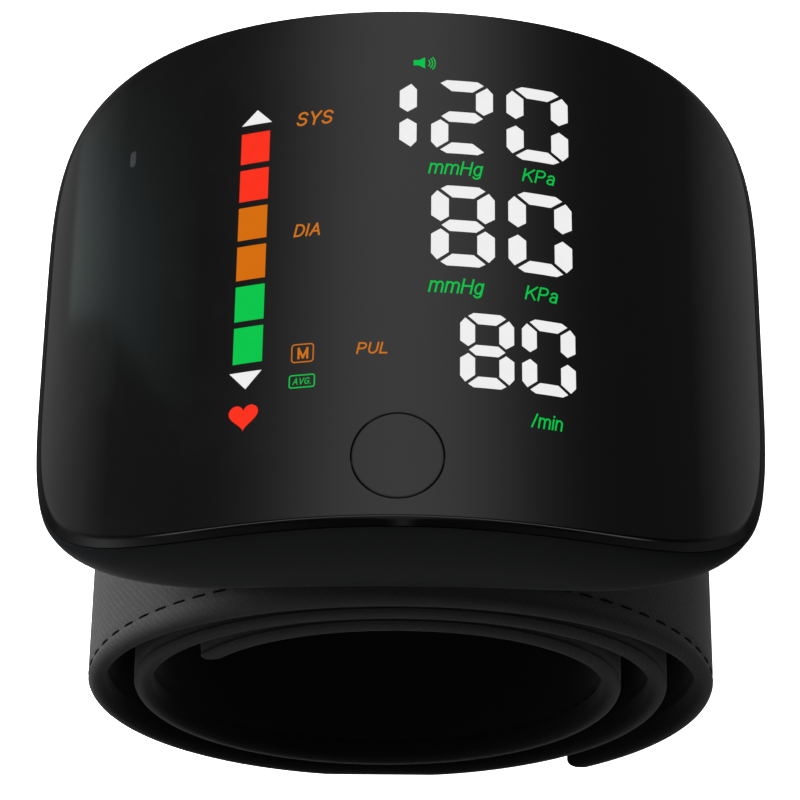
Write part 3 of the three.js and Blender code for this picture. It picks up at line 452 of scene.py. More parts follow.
GLOSS_BLACK = polished("polished black", (0.0009, 0.0009, 0.001), (0.0015, 0.0015, 0.0016))
SMOKED_FILM = polished("smoked film", (0.015, 0.015, 0.017), (0.024, 0.024, 0.026), (0.3, 0.4))
CLEAR_LENS = polished("smoky light pipe", (0.012, 0.0125, 0.013), (0.03, 0.031, 0.032), (0.12, 0.22))
MATT_BLACK = moulded(
    "moulded black", (0.0022, 0.0024, 0.0027), (0.003, 0.0033, 0.0037), Specular_IOR_Level=0.06,
    Sheen_Weight=0.05, Sheen_Roughness=0.25)
WHITE_PLASTIC = moulded("white moulding", (0.7, 0.7, 0.67), (0.8, 0.8, 0.77), relief=0.1)
RUBBER = moulded("dull rubber", (0.018, 0.018, 0.02), (0.032, 0.032, 0.034), (0.7, 0.82), 0.35, 1600.0)
SILICONE = moulded("milky silicone", (0.5, 0.52, 0.53), (0.62, 0.64, 0.64), (0.35, 0.45), 0.1)
STEEL = metal("drawn steel", (0.46, 0.47, 0.49), (0.6, 0.61, 0.63), (0.24, 0.38), (0.15, 1.0, 1.0))
FOIL = creased_foil("pouch foil")
BOARD = printed_board("circuit board")
# Painted shade: the black thread is made far darker than the black cloth, standing in for the shade in the
# seam's groove
THREAD = moulded(
    "black thread in painted seam shade", (0.0006, 0.0006, 0.0006), (0.002, 0.002, 0.002), (0.7, 0.8), 0.4, 3000.0,
    Specular_IOR_Level=0.05)
HOOK_TAPE = moulded("hook tape", (0.005, 0.005, 0.005), (0.011, 0.011, 0.012), (0.55, 0.7), 0.4, 2000.0)
LIT_WHITE = lit("lit white", (0.89, 0.89, 0.89), 1.0)
LIT_RED = lit("lit red", (0.99, 0.03, 0.01), 1.0)
LIT_AMBER = lit("lit amber", (0.68, 0.157, 0.001), 1.0)
LIT_GREEN = lit("lit green", (0.0, 0.58, 0.07), 1.0)
LIT_ORANGE = lit("lit orange", (0.62, 0.17, 0.008), 1.0)


# Case

EDGE_ROUND = 0.18
HOLE_LIP = 0.06
COVER_LIP = CASE_WALL + CASE_TAPER + PART_GAP  # the cover's underside sits inside the case wall
CASE_EDGE = 0.8  # rounding of the case's lower edge, in under it
CASE_CURL = 0.25  # and up the wall, as a share of its height
CASE_SWELL = 0.5  # how far the case's two end walls swell out
UNDERSIDE_SAG = 1.4  # how much lower the underside is beside the roll
UNDERSIDE_SPAN = 20.0
GROOVE = 0.9  # depth of the shadow line behind the case's rim
MIDDLE_SHARE = 0.03  # how near to the middle a row of points starts, as a share of the outline
FACE_SHARES = np.concatenate([[0, 0.002, 0.008], np.linspace(0.03, 1, 44)])  # rows from hole to rim
BEVEL_ROUNDED = 0.3  # share of the bevel that the rim's rounding takes
BUTTON_RINGS = 24  # rings of the button's top
BUTTON_EASED = ((0.993, 0.01), (0.998, 0.03), (1.0, 0.07))  # share of its radius, and drop, at its edge
BUTTON_MIDDLE = 0.2


def joined(parts):
    """Several shapes' points and faces as one."""
    points, faces, count = [], [], 0
    for part_points, part_faces in parts:
        points.append(part_points)
        faces += (np.asarray(face) + count for face in part_faces)
        count += len(part_points)
    return np.concatenate(points), [face.tolist() for face in faces]


def front_cover():
    """Rows of points round the case. On the face each row is a share of the way from the button's hole to
    the rim, lifted to the arch. The rim bends over into the bevel, which ends at the parting line, and
    the ceiling comes back to the hole, whose wall closes the loop."""
    hole = BUTTON_HOLE * np.cos(AROUND), BUTTON_Y + BUTTON_HOLE * np.sin(AROUND)
    lip = hole[0] * (1 + HOLE_LIP / BUTTON_HOLE), hole[1] + HOLE_LIP * np.sin(AROUND)
    rim = outline(BEVEL_WIDTH + EDGE_ROUND)
    x, y = (lip[i] + (rim[i] - lip[i]) * FACE_SHARES[:, None] for i in range(2))
    face = ring(x, y, arch(x))
    edge = ring(*outline(BEVEL_WIDTH), arch(outline(BEVEL_WIDTH)[0]))
    foot = parting(0)
    low = edge + BEVEL_ROUNDED * (foot - edge)
    rounding = bend(face[-1], edge, low, 8)[1:]
    bevel = low + (foot - low) * np.linspace(0.2, 1, 5)[:, None, None]
    wall = outline(COVER_LIP)
    back = np.linspace(0, 1, 12)[:, None]
    under_x, under_y = (wall[i] + (hole[i] - wall[i]) * back for i in range(2))
    rows = np.concatenate([
        ring(*hole, arch(hole[0]) - HOLE_LIP)[None],
        ring((hole[0] + lip[0]) / 2, (hole[1] + lip[1]) / 2, arch(lip[0]) - 0.3 * HOLE_LIP)[None],
        face, rounding, bevel, parting(COVER_LIP)[None],
        ring(under_x, under_y, arch(under_x, COVER_WALL))])
    faces = grid_faces(len(rows), len(AROUND), ring_rows=True, ring_columns=True)
    return settle(make("cover", rows, faces, GLOSS_BLACK), "case", "gloss_black", "front_cover")


def start_button():
    """Rings about the button's axis: the top follows the arch, its edge is eased, then the skirt, the
    flange that holds it under the cover, and the stem that reaches the switch."""
    stem_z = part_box("start_button")[0].z / MM
    flange_z = stem_z + STEM_LENGTH
    flange_top = flange_z + FLANGE
    share, sink = np.array(BUTTON_EASED).T
    top = np.linspace(0.04, 0.985, BUTTON_RINGS) * BUTTON_RADIUS
    skirt = [BUTTON_RADIUS, FLANGE_RADIUS, FLANGE_RADIUS, STEM_RADIUS, STEM_RADIUS, BUTTON_MIDDLE]
    radius = np.concatenate([top, share * BUTTON_RADIUS, skirt])[:, None]
    x, y = radius * np.cos(AROUND), BUTTON_Y + radius * np.sin(AROUND)
    z = arch(x)
    z[BUTTON_RINGS:-len(skirt)] -= sink[:, None]
    z[-len(skirt):] = np.array([flange_top, flange_top, flange_z, flange_z, stem_z, stem_z])[:, None]
    cap = make("button_cap", *capped_tube(ring(x, y, z)), GLOSS_BLACK)
    return settle(cap, "start_button", "gloss_black", "start_button")


def underside(x):
    """The case's underside: hollowed over the roll, and a set drop below the face out at the two sides."""
    hollow = UNDERSIDE_SAG * np.clip(np.abs(x) / UNDERSIDE_SPAN, 0, 1) ** 2
    return np.minimum(CASE_BOTTOM - hollow, arch(x) - WING_DROP)


def post(at, radius, low, high, sides=32):
    """An upright round post."""
    turn = np.linspace(0, 2 * np.pi, sides, endpoint=False)
    x, y = at[0] + radius * np.cos(turn), at[1] + radius * np.sin(turn)
    return capped_tube(np.stack([ring(x, y, low), ring(x, y, high)]))


SCREWS = ["case_screw_1", "case_screw_2", "case_screw_3", "case_screw_4"]
RECESS_RADIUS = 1.85
RECESS_DEPTH = 0.92  # above the screw head's lowest point
SCREW_HEAD = 1.5
SCREW_DOME = 0.18
SCREW_RINGS = 16
CROSS_DEPTH = 0.45
CROSS_HALF = 0.26  # half the width of the cross's arms
CROSS_REACH = 0.95
SOCKET_GAP = 0.35
SOCKET_ROUND = 0.95  # corner radius of the socket's slot, as a share of half its height
CUT_PAST = 2.0  # how far a cut starts outside the case
GRILLE_AT = (-23.9, 8.0)
GRILLE_RING = 2.6
GRILLE_HOLE = 0.5


def middle(node):
    """Plan middle of a solid."""
    low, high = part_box(node)
    return (low.x + high.x) / 2 / MM, (low.y + high.y) / 2 / MM


def case_openings():
    """What is cut out of the case: screw recesses, the speaker's grille and the charging socket's slot,
    whose outline is a rounded rectangle carried through the wall."""
    under = CASE_BOTTOM - CUT_PAST
    parts = [
        post(middle(node), RECESS_RADIUS, under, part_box(node)[0].z / MM + RECESS_DEPTH) for node in SCREWS]
    turns = np.linspace(0, 2 * np.pi, 6, endpoint=False)
    holes = [GRILLE_AT] + [
        (GRILLE_AT[0] + GRILLE_RING * math.cos(t), GRILLE_AT[1] + GRILLE_RING * math.sin(t)) for t in turns]
    parts += [post(at, GRILLE_HOLE, under, CASE_BOTTOM + CASE_FLOOR + 1, 16) for at in holes]
    low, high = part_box("usb_socket")
    half_w = (high.x - low.x) / 2 / MM + SOCKET_GAP
    half_h = (high.z - low.z) / 2 / MM + SOCKET_GAP
    turn = np.linspace(0, 2 * np.pi, 48, endpoint=False)
    corner = half_h * SOCKET_ROUND
    x = np.sign(np.cos(turn)) * (half_w - corner) + corner * np.cos(turn)
    z = (low.z + high.z) / 2 / MM + half_h * np.sin(turn)
    slot = [np.stack([x, np.full_like(x, y), z], -1) for y in (HALF_LENGTH - 5, HALF_LENGTH + CUT_PAST)]
    parts.append(capped_tube(np.stack(slot)))
    return joined(parts)


def carved(obj, points, faces):
    """The piece with the given closed shapes cut out of it."""
    cutter = make("cutter", points, faces, MATT_BLACK)
    cut = obj.modifiers.new("openings", "BOOLEAN")
    cut.object = cutter
    cut.solver = "EXACT"
    bpy.context.view_layer.update()
    graph = bpy.context.evaluated_depsgraph_get()
    mesh = bpy.data.meshes.new_from_object(obj.evaluated_get(graph))
    obj.modifiers.clear()
    obj.data = mesh
    bpy.data.objects.remove(cutter)
    mesh.materials.clear()
    mesh.materials.append(MATT_BLACK)
    mesh.polygons.foreach_set("material_index", np.zeros(len(mesh.polygons), np.int32))
    mesh.set_sharp_from_angle(angle=math.radians(40))
    return obj


def rear_case():
    """Rows round the case from the middle of the underside: out to the rounded lower edge and up the wall,
    which swells as a parabola, most at the two ends, to the rim and the groove behind it; then down the
    inside and along the floor to its middle."""
    plan = outline(CASE_TAPER + CASE_EDGE)
    share = np.linspace(MIDDLE_SHARE, 1, 16)[:, None]
    x, y = plan[0] * share, plan[1] * share
    below = ring(x, y, underside(x))
    corner_plan = outline(CASE_TAPER)
    corner = ring(*corner_plan, underside(corner_plan[0]))
    rim = parting(0, PART_GAP)
    swell = ring(*outline(-CASE_SWELL), 0.0) - ring(*outline(0), 0.0)
    swell *= (corner[:, 1:2] / HALF_LENGTH) ** 2
    up = np.linspace(CASE_CURL, 0.98, 14)[:, None, None]
    wall = corner + (rim - corner) * up + swell * 4 * up * (1 - up)
    turned = corner + swell * 4 * CASE_CURL ** 2
    rounding = bend(below[-1], turned, wall[0], 12)[1:-1]
    groove = np.stack([
        parting(0.03, PART_GAP), parting(0.06, PART_GAP + GROOVE), parting(0.5, PART_GAP + GROOVE),
        parting(CASE_WALL, PART_GAP)])
    inner_plan = outline(CASE_WALL + CASE_TAPER)
    back = np.linspace(1, MIDDLE_SHARE, 10)[:, None]
    x, y = inner_plan[0] * back, inner_plan[1] * back
    floor = ring(x, y, np.minimum(CASE_BOTTOM + CASE_FLOOR, arch(x) - WING_DROP + WING_WALL))
    rows = np.concatenate([below, rounding, wall, groove, floor])
    case = carved(make("case_tray", *capped_tube(rows), MATT_BLACK), *case_openings())
    return settle(case, "case", "matt_black", "rear_case")


def screw(node):
    """A pan-head screw seen from below. The head is rings about the axis, domed, with a cross sunk in it:
    the depth of the cross falls off across the arms and towards their ends."""
    low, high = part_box(node)
    at = middle(node)
    turn = np.linspace(0, 2 * np.pi, 48, endpoint=False)
    domed = np.linspace(0.05, 0.97, SCREW_RINGS) * SCREW_HEAD
    radius = np.concatenate([domed, [SCREW_HEAD, SCREW_HEAD, 0.8, 0.8, 0.5]])[:, None]
    x, y = radius * np.cos(turn), radius * np.sin(turn)
    base, top = low.z / MM, high.z / MM
    z = base + SCREW_DOME * (radius / SCREW_HEAD) ** 2 + np.zeros_like(x)
    arm = np.minimum(np.abs(x), np.abs(y))
    reach = np.maximum(np.abs(x), np.abs(y))
    z += CROSS_DEPTH * np.clip((CROSS_HALF - arm) / 0.1, 0, 1) * np.clip((CROSS_REACH - reach) / 0.15, 0, 1)
    z[SCREW_RINGS:] = np.array([base + 0.3, base + 0.9, base + 0.9, top - 0.4, top])[:, None]
    shape = capped_tube(ring(x + at[0], y + at[1], z))
    return settle(make(node.replace("case_screw", "screw"), *shape, STEEL), "case", "steel", node)


def indicator():
    """A small light pipe in the face: rings of a squarish oval, flush with the arch, its edge eased."""
    turn = np.linspace(0, 2 * np.pi, 48, endpoint=False)
    c, s = np.cos(turn), np.sin(turn)
    half = np.array(INDICATOR_SIZE) / 2
    reach = (np.abs(c) ** 4 + np.abs(s) ** 4) ** -0.25
    share = np.array([0.1, 0.4, 0.7, 0.9, 1.0, 1.0])[:, None]
    x = INDICATOR_AT[0] + half[0] * reach * c * share
    y = INDICATOR_AT[1] + half[1] * reach * s * share
    z = arch(x) + np.array([0.03, 0.03, 0.03, 0.025, 0.01, -1.2])[:, None]
    light_pipe = make("indicator", *capped_tube(ring(x, y, z)), CLEAR_LENS)
    return settle(light_pipe, "case", "clear_plastic", "indicator_lens")


front_cover()
start_button()
rear_case()
for screw_node in SCREWS:
    screw(screw_node)
indicator()


# Cuff

STITCH_INSET = 0.8  # outer stitch line from the cuff's edges
STITCH_SWING = 2.2  # further in over the top of the roll
LINING_INSET = 2.4  # inner stitch line
LINING_STITCHED = (1.05, 1.65)
STITCHED_FROM = 3.0  # the outer line is on the outermost turn and under the flap; short of it the outer face is painted near black as shade between the turns
STITCH_PITCH = 2.35
STITCH_LENGTH = 2.0
STITCH_DIP = 0.34  # how far a stitch's ends go into the cloth
THREAD_RADIUS = 0.12
SEAM_DEPTH = 0.14  # how far the stitching pulls the cloth in
SEAM_WIDTH = 0.4
SEAM_REACH = 4.4  # strip at each edge that is drawn finely
HEM_RADIUS = 0.8
BAND_STEP = 0.9  # between sections along the cuff
END_TAPER = 0.4
END_NARROWS = 0.4  # how far the cuff's edges draw in at its ends
END_SLANT = 2.2  # the cuff's ends are cut at a slant
SLANT_REACH = 4.0
MAP_MM = 10  # the cloth's map is in cm
OUTER, INNER = -1, 1  # the cuff's two faces, for stitches


def bow(value, power):
    """A power that keeps its sign."""
    return np.sign(value) * np.abs(value) ** power


def roll(turns, depth):
    """X and Z on the roll. Each half turn is half a superellipse, wider and higher than the one inside it;
    depth goes in along the curve's normal, and the foot is pressed flat on z = 0."""
    half = np.floor(turns)
    turn = np.pi * (turns - half)
    top = half % 2 == 0
    inwards = (4 - half) / 2
    wide = ROLL_HALF_WIDTH - PITCH_SIDE * inwards
    high = np.where(top, ROLL_RISE - PITCH_TOP * inwards, ROLL_DROP - PITCH_BOTTOM * (3 - half) / 2)
    c = np.where(top, -1, 1) * np.cos(turn)
    s = np.where(top, 1, -1) * np.sin(turn)
    lean_x = bow(c, 2 - 2 / ROLL_POWER) / wide
    lean_z = bow(s, 2 - 2 / ROLL_POWER) / high
    length = np.hypot(lean_x, lean_z)
    x = np.where(top, 0, -PITCH_SIDE / 2) + wide * bow(c, 2 / ROLL_POWER) - lean_x / length * depth
    z = ROLL_Z + high * bow(s, 2 / ROLL_POWER) - lean_z / length * depth
    return x, np.maximum(z, depth)


FINE_PLACES = np.linspace(INNER_END - 0.03, FLAP_END + 0.03, 8000)
FINE_LENGTHS = np.concatenate([
    [0], np.cumsum(np.hypot(*(np.diff(part) for part in roll(FINE_PLACES, BAND / 2))))])


def length_at(turns):
    """Length along the cuff from near its inner end, in mm, at a place on the roll."""
    return np.interp(turns, FINE_PLACES, FINE_LENGTHS)


def place_at(length):
    """Place on the roll at a length along the cuff."""
    return np.interp(length, FINE_LENGTHS, FINE_PLACES)


# Its inside colour is painted shade, laid on the inner face, the hems and the outer face of the inner turns
CUFF_CLOTH = woven(
    "black twill", pitch=0.02, inside=(0.0015, 0.0015, 0.0016), dark=(0.0145, 0.0145, 0.0148),
    light=(0.035, 0.035, 0.0358), relief=0.25, sheen=0.04, edge=CUFF_WIDTH / 2 / MAP_MM,
    inner_turns=length_at(STITCHED_FROM) / MAP_MM)


def stitch_inset(turns):
    """Outer stitch line's distance from the edges: more over the top of the outermost turn, as a sine."""
    return STITCH_INSET + STITCH_SWING * np.clip(np.sin(np.pi * turns), 0, 1) * (turns > 4)


def band_section():
    """The cuff's section as a closed loop of depth and y, which starts and ends at the middle of its inner
    face: a rounded rectangle. A third value is 1 on its outer face, -1 on its inner face and 0 between."""
    half = CUFF_WIDTH / 2
    flat = half - HEM_RADIUS
    fine = np.linspace(0, SEAM_REACH, 20)
    broad = np.linspace(SEAM_REACH - flat, flat - SEAM_REACH, 26)[1:-1]
    y = np.concatenate([fine - flat, broad, flat - fine[::-1]])
    turn = np.linspace(0, np.pi / 2, 7)[1:-1]
    near = np.stack([HEM_RADIUS * (1 - np.cos(turn)), flat + HEM_RADIUS * np.sin(turn)], -1)
    outer = np.stack([0 * y, y, 0 * y + 1], -1)
    inner = np.stack([0 * y + BAND, y, 0 * y - 1], -1)[::-1]
    edge = np.concatenate([near, [[BAND / 2, half]], np.stack([BAND - near[::-1, 0], near[::-1, 1]], -1)])
    edge = np.pad(edge, ((0, 0), (0, 1)))
    half_way = len(inner) // 2
    return np.concatenate([inner[half_way:], edge[::-1] * (1, -1, 1), outer, edge, inner[:half_way]])


def cuff_band(name, start, end, eased_start, eased_end):
    """The band's section carried along the roll between two places, pulled in along the stitch lines as a
    bell curve about each. Towards an eased end it thins like a quarter circle and leans to a slanted cut."""
    section = band_section()
    low, high = length_at(start), length_at(end)
    body = np.linspace(low, high, int((high - low) / BAND_STEP))
    tips = END_TAPER * (1 - np.cos(np.linspace(0, np.pi / 2, 9)[1:]))
    lengths = np.unique(np.concatenate([
        body, low + tips if eased_start else [low], high - tips if eased_end else [high]]))
    first = (lengths - low) / END_TAPER if eased_start else np.ones_like(lengths)
    last = (high - lengths) / END_TAPER if eased_end else np.ones_like(lengths)
    rest = 1 - np.clip(np.minimum(first, last), 0.02, 1)
    thick = np.sqrt(1 - rest ** 2)[:, None]
    face = section[:, 2]
    inset = np.where(face < 0, LINING_INSET, stitch_inset(place_at(lengths))[:, None])
    pull = SEAM_DEPTH * np.exp(-((np.abs(section[:, 1]) - CUFF_WIDTH / 2 + inset) / SEAM_WIDTH) ** 2)
    depth = BAND / 2 + (section[:, 0] + face * pull - BAND / 2) * thick
    y = section[:, 1] - np.sign(section[:, 1]) * END_NARROWS * rest[:, None] ** 2
    cut = np.clip(1 - (lengths - low) / SLANT_REACH, 0, 1) * eased_start
    cut = cut + np.clip(1 - (high - lengths) / SLANT_REACH, 0, 1) * eased_end
    lean = END_SLANT * (section[:, 0] / BAND - 0.5) * cut[:, None]
    x, z = roll(place_at(lengths[:, None] + lean), depth)
    points, faces = capped_tube(np.stack([x, y, z], -1))
    steps = np.hypot(*(np.roll(section, -1, 0) - section)[:, :2].T)
    across = np.cumsum(steps) - steps - steps.sum() / 2
    uv = np.stack(np.broadcast_arrays(lengths[:, None], across), -1).reshape(-1, 2) / MAP_MM
    uv = np.concatenate([uv, uv[:1], uv[-1:]])
    return make(name, points, faces, CUFF_CLOTH, uv=uv, wrap=steps.sum() / MAP_MM, sharp=50)


def capped_tubes(tubes):
    """Many small capped tubes as one shape: the first one's faces, carried on to the points of each."""
    _, faces = capped_tube(tubes[0])
    caps = np.concatenate([tubes[:, :1].mean(2), tubes[:, -1:].mean(2)], 1)
    points = np.concatenate([tubes.reshape(len(tubes), -1, 3), caps], 1)
    starts = points.shape[1] * np.arange(len(tubes))[:, None]
    return points.reshape(-1, 3), [copy for face in faces for copy in (starts + face).tolist()]


def stitch_line(start, end, face, side):
    """One line of stitches, on the outer or the inner face, at the near edge (-1) or the far (1). Each is
    a thin tube along the roll whose ends dip into the cloth; its sides are rings in depth and y."""
    low, high = length_at(start) + STITCH_PITCH, length_at(end) - STITCH_PITCH
    centres = np.arange(low, high, STITCH_PITCH)
    along = np.linspace(-0.5, 0.5, 6)
    turn = np.linspace(0, 2 * np.pi, 6, endpoint=False)
    places = place_at(centres[:, None, None] + along[:, None] * STITCH_LENGTH)
    inset = LINING_INSET if face == INNER else stitch_inset(places)
    dip = STITCH_DIP * (2 * along[:, None]) ** 4
    rise = THREAD_RADIUS * (0.35 + np.sin(turn)) - dip - SEAM_DEPTH
    x, z = roll(places, BAND / 2 + face * (BAND / 2 + rise))
    y = side * (CUFF_WIDTH / 2 - inset) + face * THREAD_RADIUS * np.cos(turn) + 0 * x
    return np.stack([x, y, z], -1)


def stitches(name, *runs):
    """Thread along runs of the cuff, each given by two places and a face."""
    tubes = np.concatenate([stitch_line(*run, side) for run in runs for side in (-1, 1)])
    return make(name, *capped_tubes(tubes), THREAD)


TAPE_DEPTHS = (0.02, 0.4)  # the hook tape's two faces, in from the cuff's inner face
HOOK_BORDER = 0.8
HOOK_PITCH = (1.3, 1.45)  # along the cuff and across it
# A hook's rings from its foot: rise off the cuff, lean along it, radius
HOOK_RINGS = ((0.36, 0.0, 0.17), (0.55, 0.03, 0.13), (0.7, 0.16, 0.12), (0.76, 0.36, 0.08))


def hook_patch():
    """Hook tape on the flap's inner face: a thin sheet with rows of small stalks, each a tapering tube
    that bends over along the cuff at its tip."""
    half = CUFF_WIDTH / 2 - HOOK_MARGIN
    low, high = length_at(HOOK_START), length_at(HOOK_END)
    lengths = np.linspace(low, high, 40)[:, None]
    under, over = TAPE_DEPTHS
    loop = np.array([(under, -half), (under, half), (over, half), (over, -half)])
    x, z = roll(place_at(lengths), BAND + loop[:, 0])
    sheet = capped_tube(np.stack([x, np.broadcast_to(loop[:, 1], x.shape), z], -1))
    rows = np.arange(low + HOOK_BORDER, high - HOOK_BORDER, HOOK_PITCH[0])
    columns = np.arange(-half + HOOK_BORDER, half - HOOK_BORDER, HOOK_PITCH[1])
    at_length, at_y = (part.reshape(-1, 1, 1) for part in np.meshgrid(rows, columns))
    rise, lean, thick = np.array(HOOK_RINGS).T[:, :, None]
    turn = np.linspace(0, 2 * np.pi, 5, endpoint=False)
    x, z = roll(place_at(at_length + lean + thick * np.cos(turn)), BAND + rise)
    y = at_y + thick * np.sin(turn) + 0 * x
    hooks = capped_tubes(np.stack([x, y, z], -1))
    tape = make("hook_tape", *joined([sheet, hooks]), HOOK_TAPE)
    return settle(tape, "cuff_flap", "hook_tape", "hook_patch")


def wrapped(obj, slot, *nodes):
    """A piece of the outermost stretch, which the flap belongs to, its placing baked into its mesh."""
    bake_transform(obj)
    return dressed(obj, slot, *nodes)


cuff_roll = settle(
    cuff_band("cuff_roll", INNER_END, WRAP_START, True, False), "case", "cuff_cloth",
    "cuff_outer_cloth", "cuff_inner_cloth", "cuff_stay", "cuff_bladder")
cuff_wrap = wrapped(cuff_band("cuff_wrap", WRAP_START, FLAP_END, False, True), "cuff_cloth", "cuff_flap")
roll_runs = (STITCHED_FROM, WRAP_START, OUTER), (*LINING_STITCHED, INNER)
settle(stitches("roll_stitching", *roll_runs), "case", "cuff_cloth")
wrapped(stitches("wrap_stitching", (WRAP_START, FLAP_END, OUTER)), "cuff_cloth")
hook_patch()


# Display

LIFT = 0.02  # lit marks above the face
SINK = 0.12  # and into it
# Corners of a digit's strokes from its middle, on a digit of this size: base or top, side, and middle
DIGIT_SIZE = (6.25, 9.2)
TOP_STROKE = np.array([(-2.2, 4.2), (-1.57, 4.6), (1.57, 4.6), (2.2, 4.2), (1.05, 3.25), (-1.05, 3.25)])
SIDE_STROKE = np.array([(2.54, 3.97), (3.125, 3.25), (3.125, 1.07), (2.19, 0.43), (1.4, 1.02), (1.4, 3.07)])
MIDDLE_STROKE = np.array([(-2.1, 0), (-1.3, 0.65), (1.3, 0.65), (2.1, 0), (1.3, -0.65), (-1.3, -0.65)])
DIGIT_STROKES = [
    (TOP_STROKE, (1, 1)), (SIDE_STROKE, (-1, 1)), (SIDE_STROKE, (1, 1)), (MIDDLE_STROKE, (1, 1)),
    (SIDE_STROKE, (-1, -1)), (SIDE_STROKE, (1, -1)), (TOP_STROKE, (1, -1))]
# Strokes lit for each digit, in the order top, upper left, upper right, middle, lower left, lower right, base
STROKES = {"0": (0, 1, 2, 4, 5, 6), "1": (2, 5), "2": (0, 2, 3, 4, 6), "8": (0, 1, 2, 3, 4, 5, 6)}
# Digit, left, base, width, height
DIGITS = [
    ("1", -4.69, 11.4, 6.15, 8.45), ("2", 2.9, 11.4, 6.12, 8.45), ("0", 10.37, 11.5, 6.17, 8.42),
    ("8", 2.97, -1.25, 6.2, 8.95), ("0", 10.5, -1.18, 6.27, 8.97),
    ("8", 5.82, -14.25, 5.17, 7.97), ("0", 11.75, -14.2, 5.18, 7.95),
]
BAR_SPAN = (-15.98, -13.12)
BAR_TOP = (14.92, -4.18, -0.04)  # the first bar's top, and its change from bar to bar and with its square
BAR_HEIGHT = (3.5, 0.085)  # the first bar's height, and its change from bar to bar
BAR_COLOURS = [LIT_RED, LIT_RED, LIT_AMBER, LIT_AMBER, LIT_GREEN, LIT_GREEN]
# Words of measurement: text, left, baseline, width, capital height, slant, thickness of the strokes
ORANGE_WORDS = [
    ("SYS", -10.55, 14.95, 3.86, 1.6, 0.2, 0.135), ("DIA", -10.45, 2.3, 2.87, 1.4, 0.2, 0.135),
    ("PUL", -4.1, -10.98, 3.24, 1.25, 0.2, 0.135), ("M", -9.7, -11.15, 1.06, 1.22, 0.0, 0.17),
]
GREEN_WORDS = [
    ("mmHg", 2.62, 8.97, 5.5, 1.58, 0.2, 0.105), ("KPa", 11.86, 9.05, 3.46, 1.5, 0.2, 0.105),
    ("mmHg", 2.71, -4.25, 5.52, 1.66, 0.2, 0.105), ("KPa", 12.04, -4.16, 3.42, 1.55, 0.2, 0.105),
    ("/min", 12.55, -17.84, 3.16, 1.5, 0.15, 0.105), ("AVG.", -10.1, -13.87, 1.85, 0.7, 0.2, 0.11),
]
LETTER_GAP = 0.12  # between letters, for a capital one high
ARROWS = [
    [(-16.0, 15.9), (-12.97, 15.9), (-14.45, 17.53)], [(-16.25, -11.85), (-14.65, -13.7), (-13.13, -11.85)]]
HEART = ((-14.75, -16.55), 1.42)  # middle, half width
# Frames round two of the words: lower left and upper right corner, corner radius, thickness
ORANGE_FRAME = ((-10.24, -11.475), (-8.18, -9.575), 0.28, 0.12)
GREEN_FRAME = ((-10.4, -14.175), (-8.0, -12.875), 0.22, 0.12)
SPEAKER_MARK = (1.1, 21.1, 2.2, 1.35)  # left, base, width, height


def sweep(middle_x, middle_y, half_x, half_y, start, end):
    """Points of an arc of an ellipse, its angles in degrees."""
    turn = np.radians(np.linspace(start, end, 2 + int(abs(end - start) / 18)))
    return list(zip(middle_x + half_x * np.cos(turn), middle_y + half_y * np.sin(turn)))


# Letters: width for a capital one high, and strokes as runs of points on a box one wide and one high
LETTERS = {
    "A": (0.62, [[(0, 0), (0.5, 1)], [(0.5, 1), (1, 0)], [(0.19, 0.34), (0.81, 0.34)]]),
    "D": (0.56, [
        [(0, 0), (0, 1)], [(0, 1), (0.4, 1), *sweep(0.4, 0.5, 0.6, 0.5, 78, -78), (0.4, 0), (0, 0)]]),
    "G": (0.62, [
        sweep(0.5, 0.5, 0.5, 0.5, 40, 325), [(0.95, 0.18), (0.95, 0.45)], [(0.95, 0.45), (0.55, 0.45)]]),
    "H": (0.54, [[(0, 0), (0, 1)], [(1, 0), (1, 1)], [(0, 0.53), (1, 0.53)]]),
    "I": (0.0, [[(0, 0), (0, 1)]]),
    "K": (0.56, [[(0, 0), (0, 1)], [(1, 1), (0, 0.36)], [(0.36, 0.6), (1, 0)]]),
    "L": (0.44, [[(0, 1), (0, 0)], [(0, 0), (1, 0)]]),
    "M": (0.64, [[(0, 0), (0, 1)], [(0, 1), (0.5, 0.05)], [(0.5, 0.05), (1, 1)], [(1, 1), (1, 0)]]),
    "P": (0.5, [[(0, 0), (0, 1)], [
        (0, 1), (0.55, 1), *sweep(0.55, 0.73, 0.45, 0.27, 75, -75), (0.55, 0.46), (0, 0.46)]]),
    "S": (0.54, [[*sweep(0.5, 0.755, 0.47, 0.245, 20, 260), *sweep(0.5, 0.255, 0.5, 0.255, 80, -160)]]),
    "U": (0.54, [[(0, 1), *sweep(0.5, 0.38, 0.5, 0.38, 180, 360), (1, 1)]]),
    "V": (0.58, [[(0, 1), (0.5, 0)], [(0.5, 0), (1, 1)]]),
    "Y": (0.58, [[(0, 1), (0.5, 0.42)], [(1, 1), (0.5, 0.42)], [(0.5, 0.48), (0.5, 0)]]),
    "a": (0.4, [[*sweep(0.5, 0.52, 0.46, 0.22, 155, 0), (0.96, 0)], sweep(0.48, 0.21, 0.48, 0.21, 0, 350)]),
    "g": (0.4, [
        sweep(0.5, 0.37, 0.5, 0.37, 0, 350), [(1, 0.74), (1, 0), *sweep(0.5, -0.05, 0.5, 0.22, -10, -150)]]),
    "i": (0.0, [[(0, 0), (0, 0.74)], [(0, 0.98), (0, 1.02)]]),
    "m": (0.72, [
        [(0, 0), (0, 0.74)], [*sweep(0.25, 0.5, 0.25, 0.24, 170, 0), (0.5, 0)],
        [*sweep(0.75, 0.5, 0.25, 0.24, 170, 0), (1, 0)]]),
    "n": (0.38, [[(0, 0), (0, 0.74)], [*sweep(0.5, 0.46, 0.5, 0.28, 170, 0), (1, 0)]]),
    "/": (0.24, [[(0, 0), (1, 1)]]),
    ".": (0.0, [[(0, 0), (0, 0.03)]]),
}


def raised(x, y):
    """Points a little above the face."""
    return ring(x, y, arch(x) + LIFT)


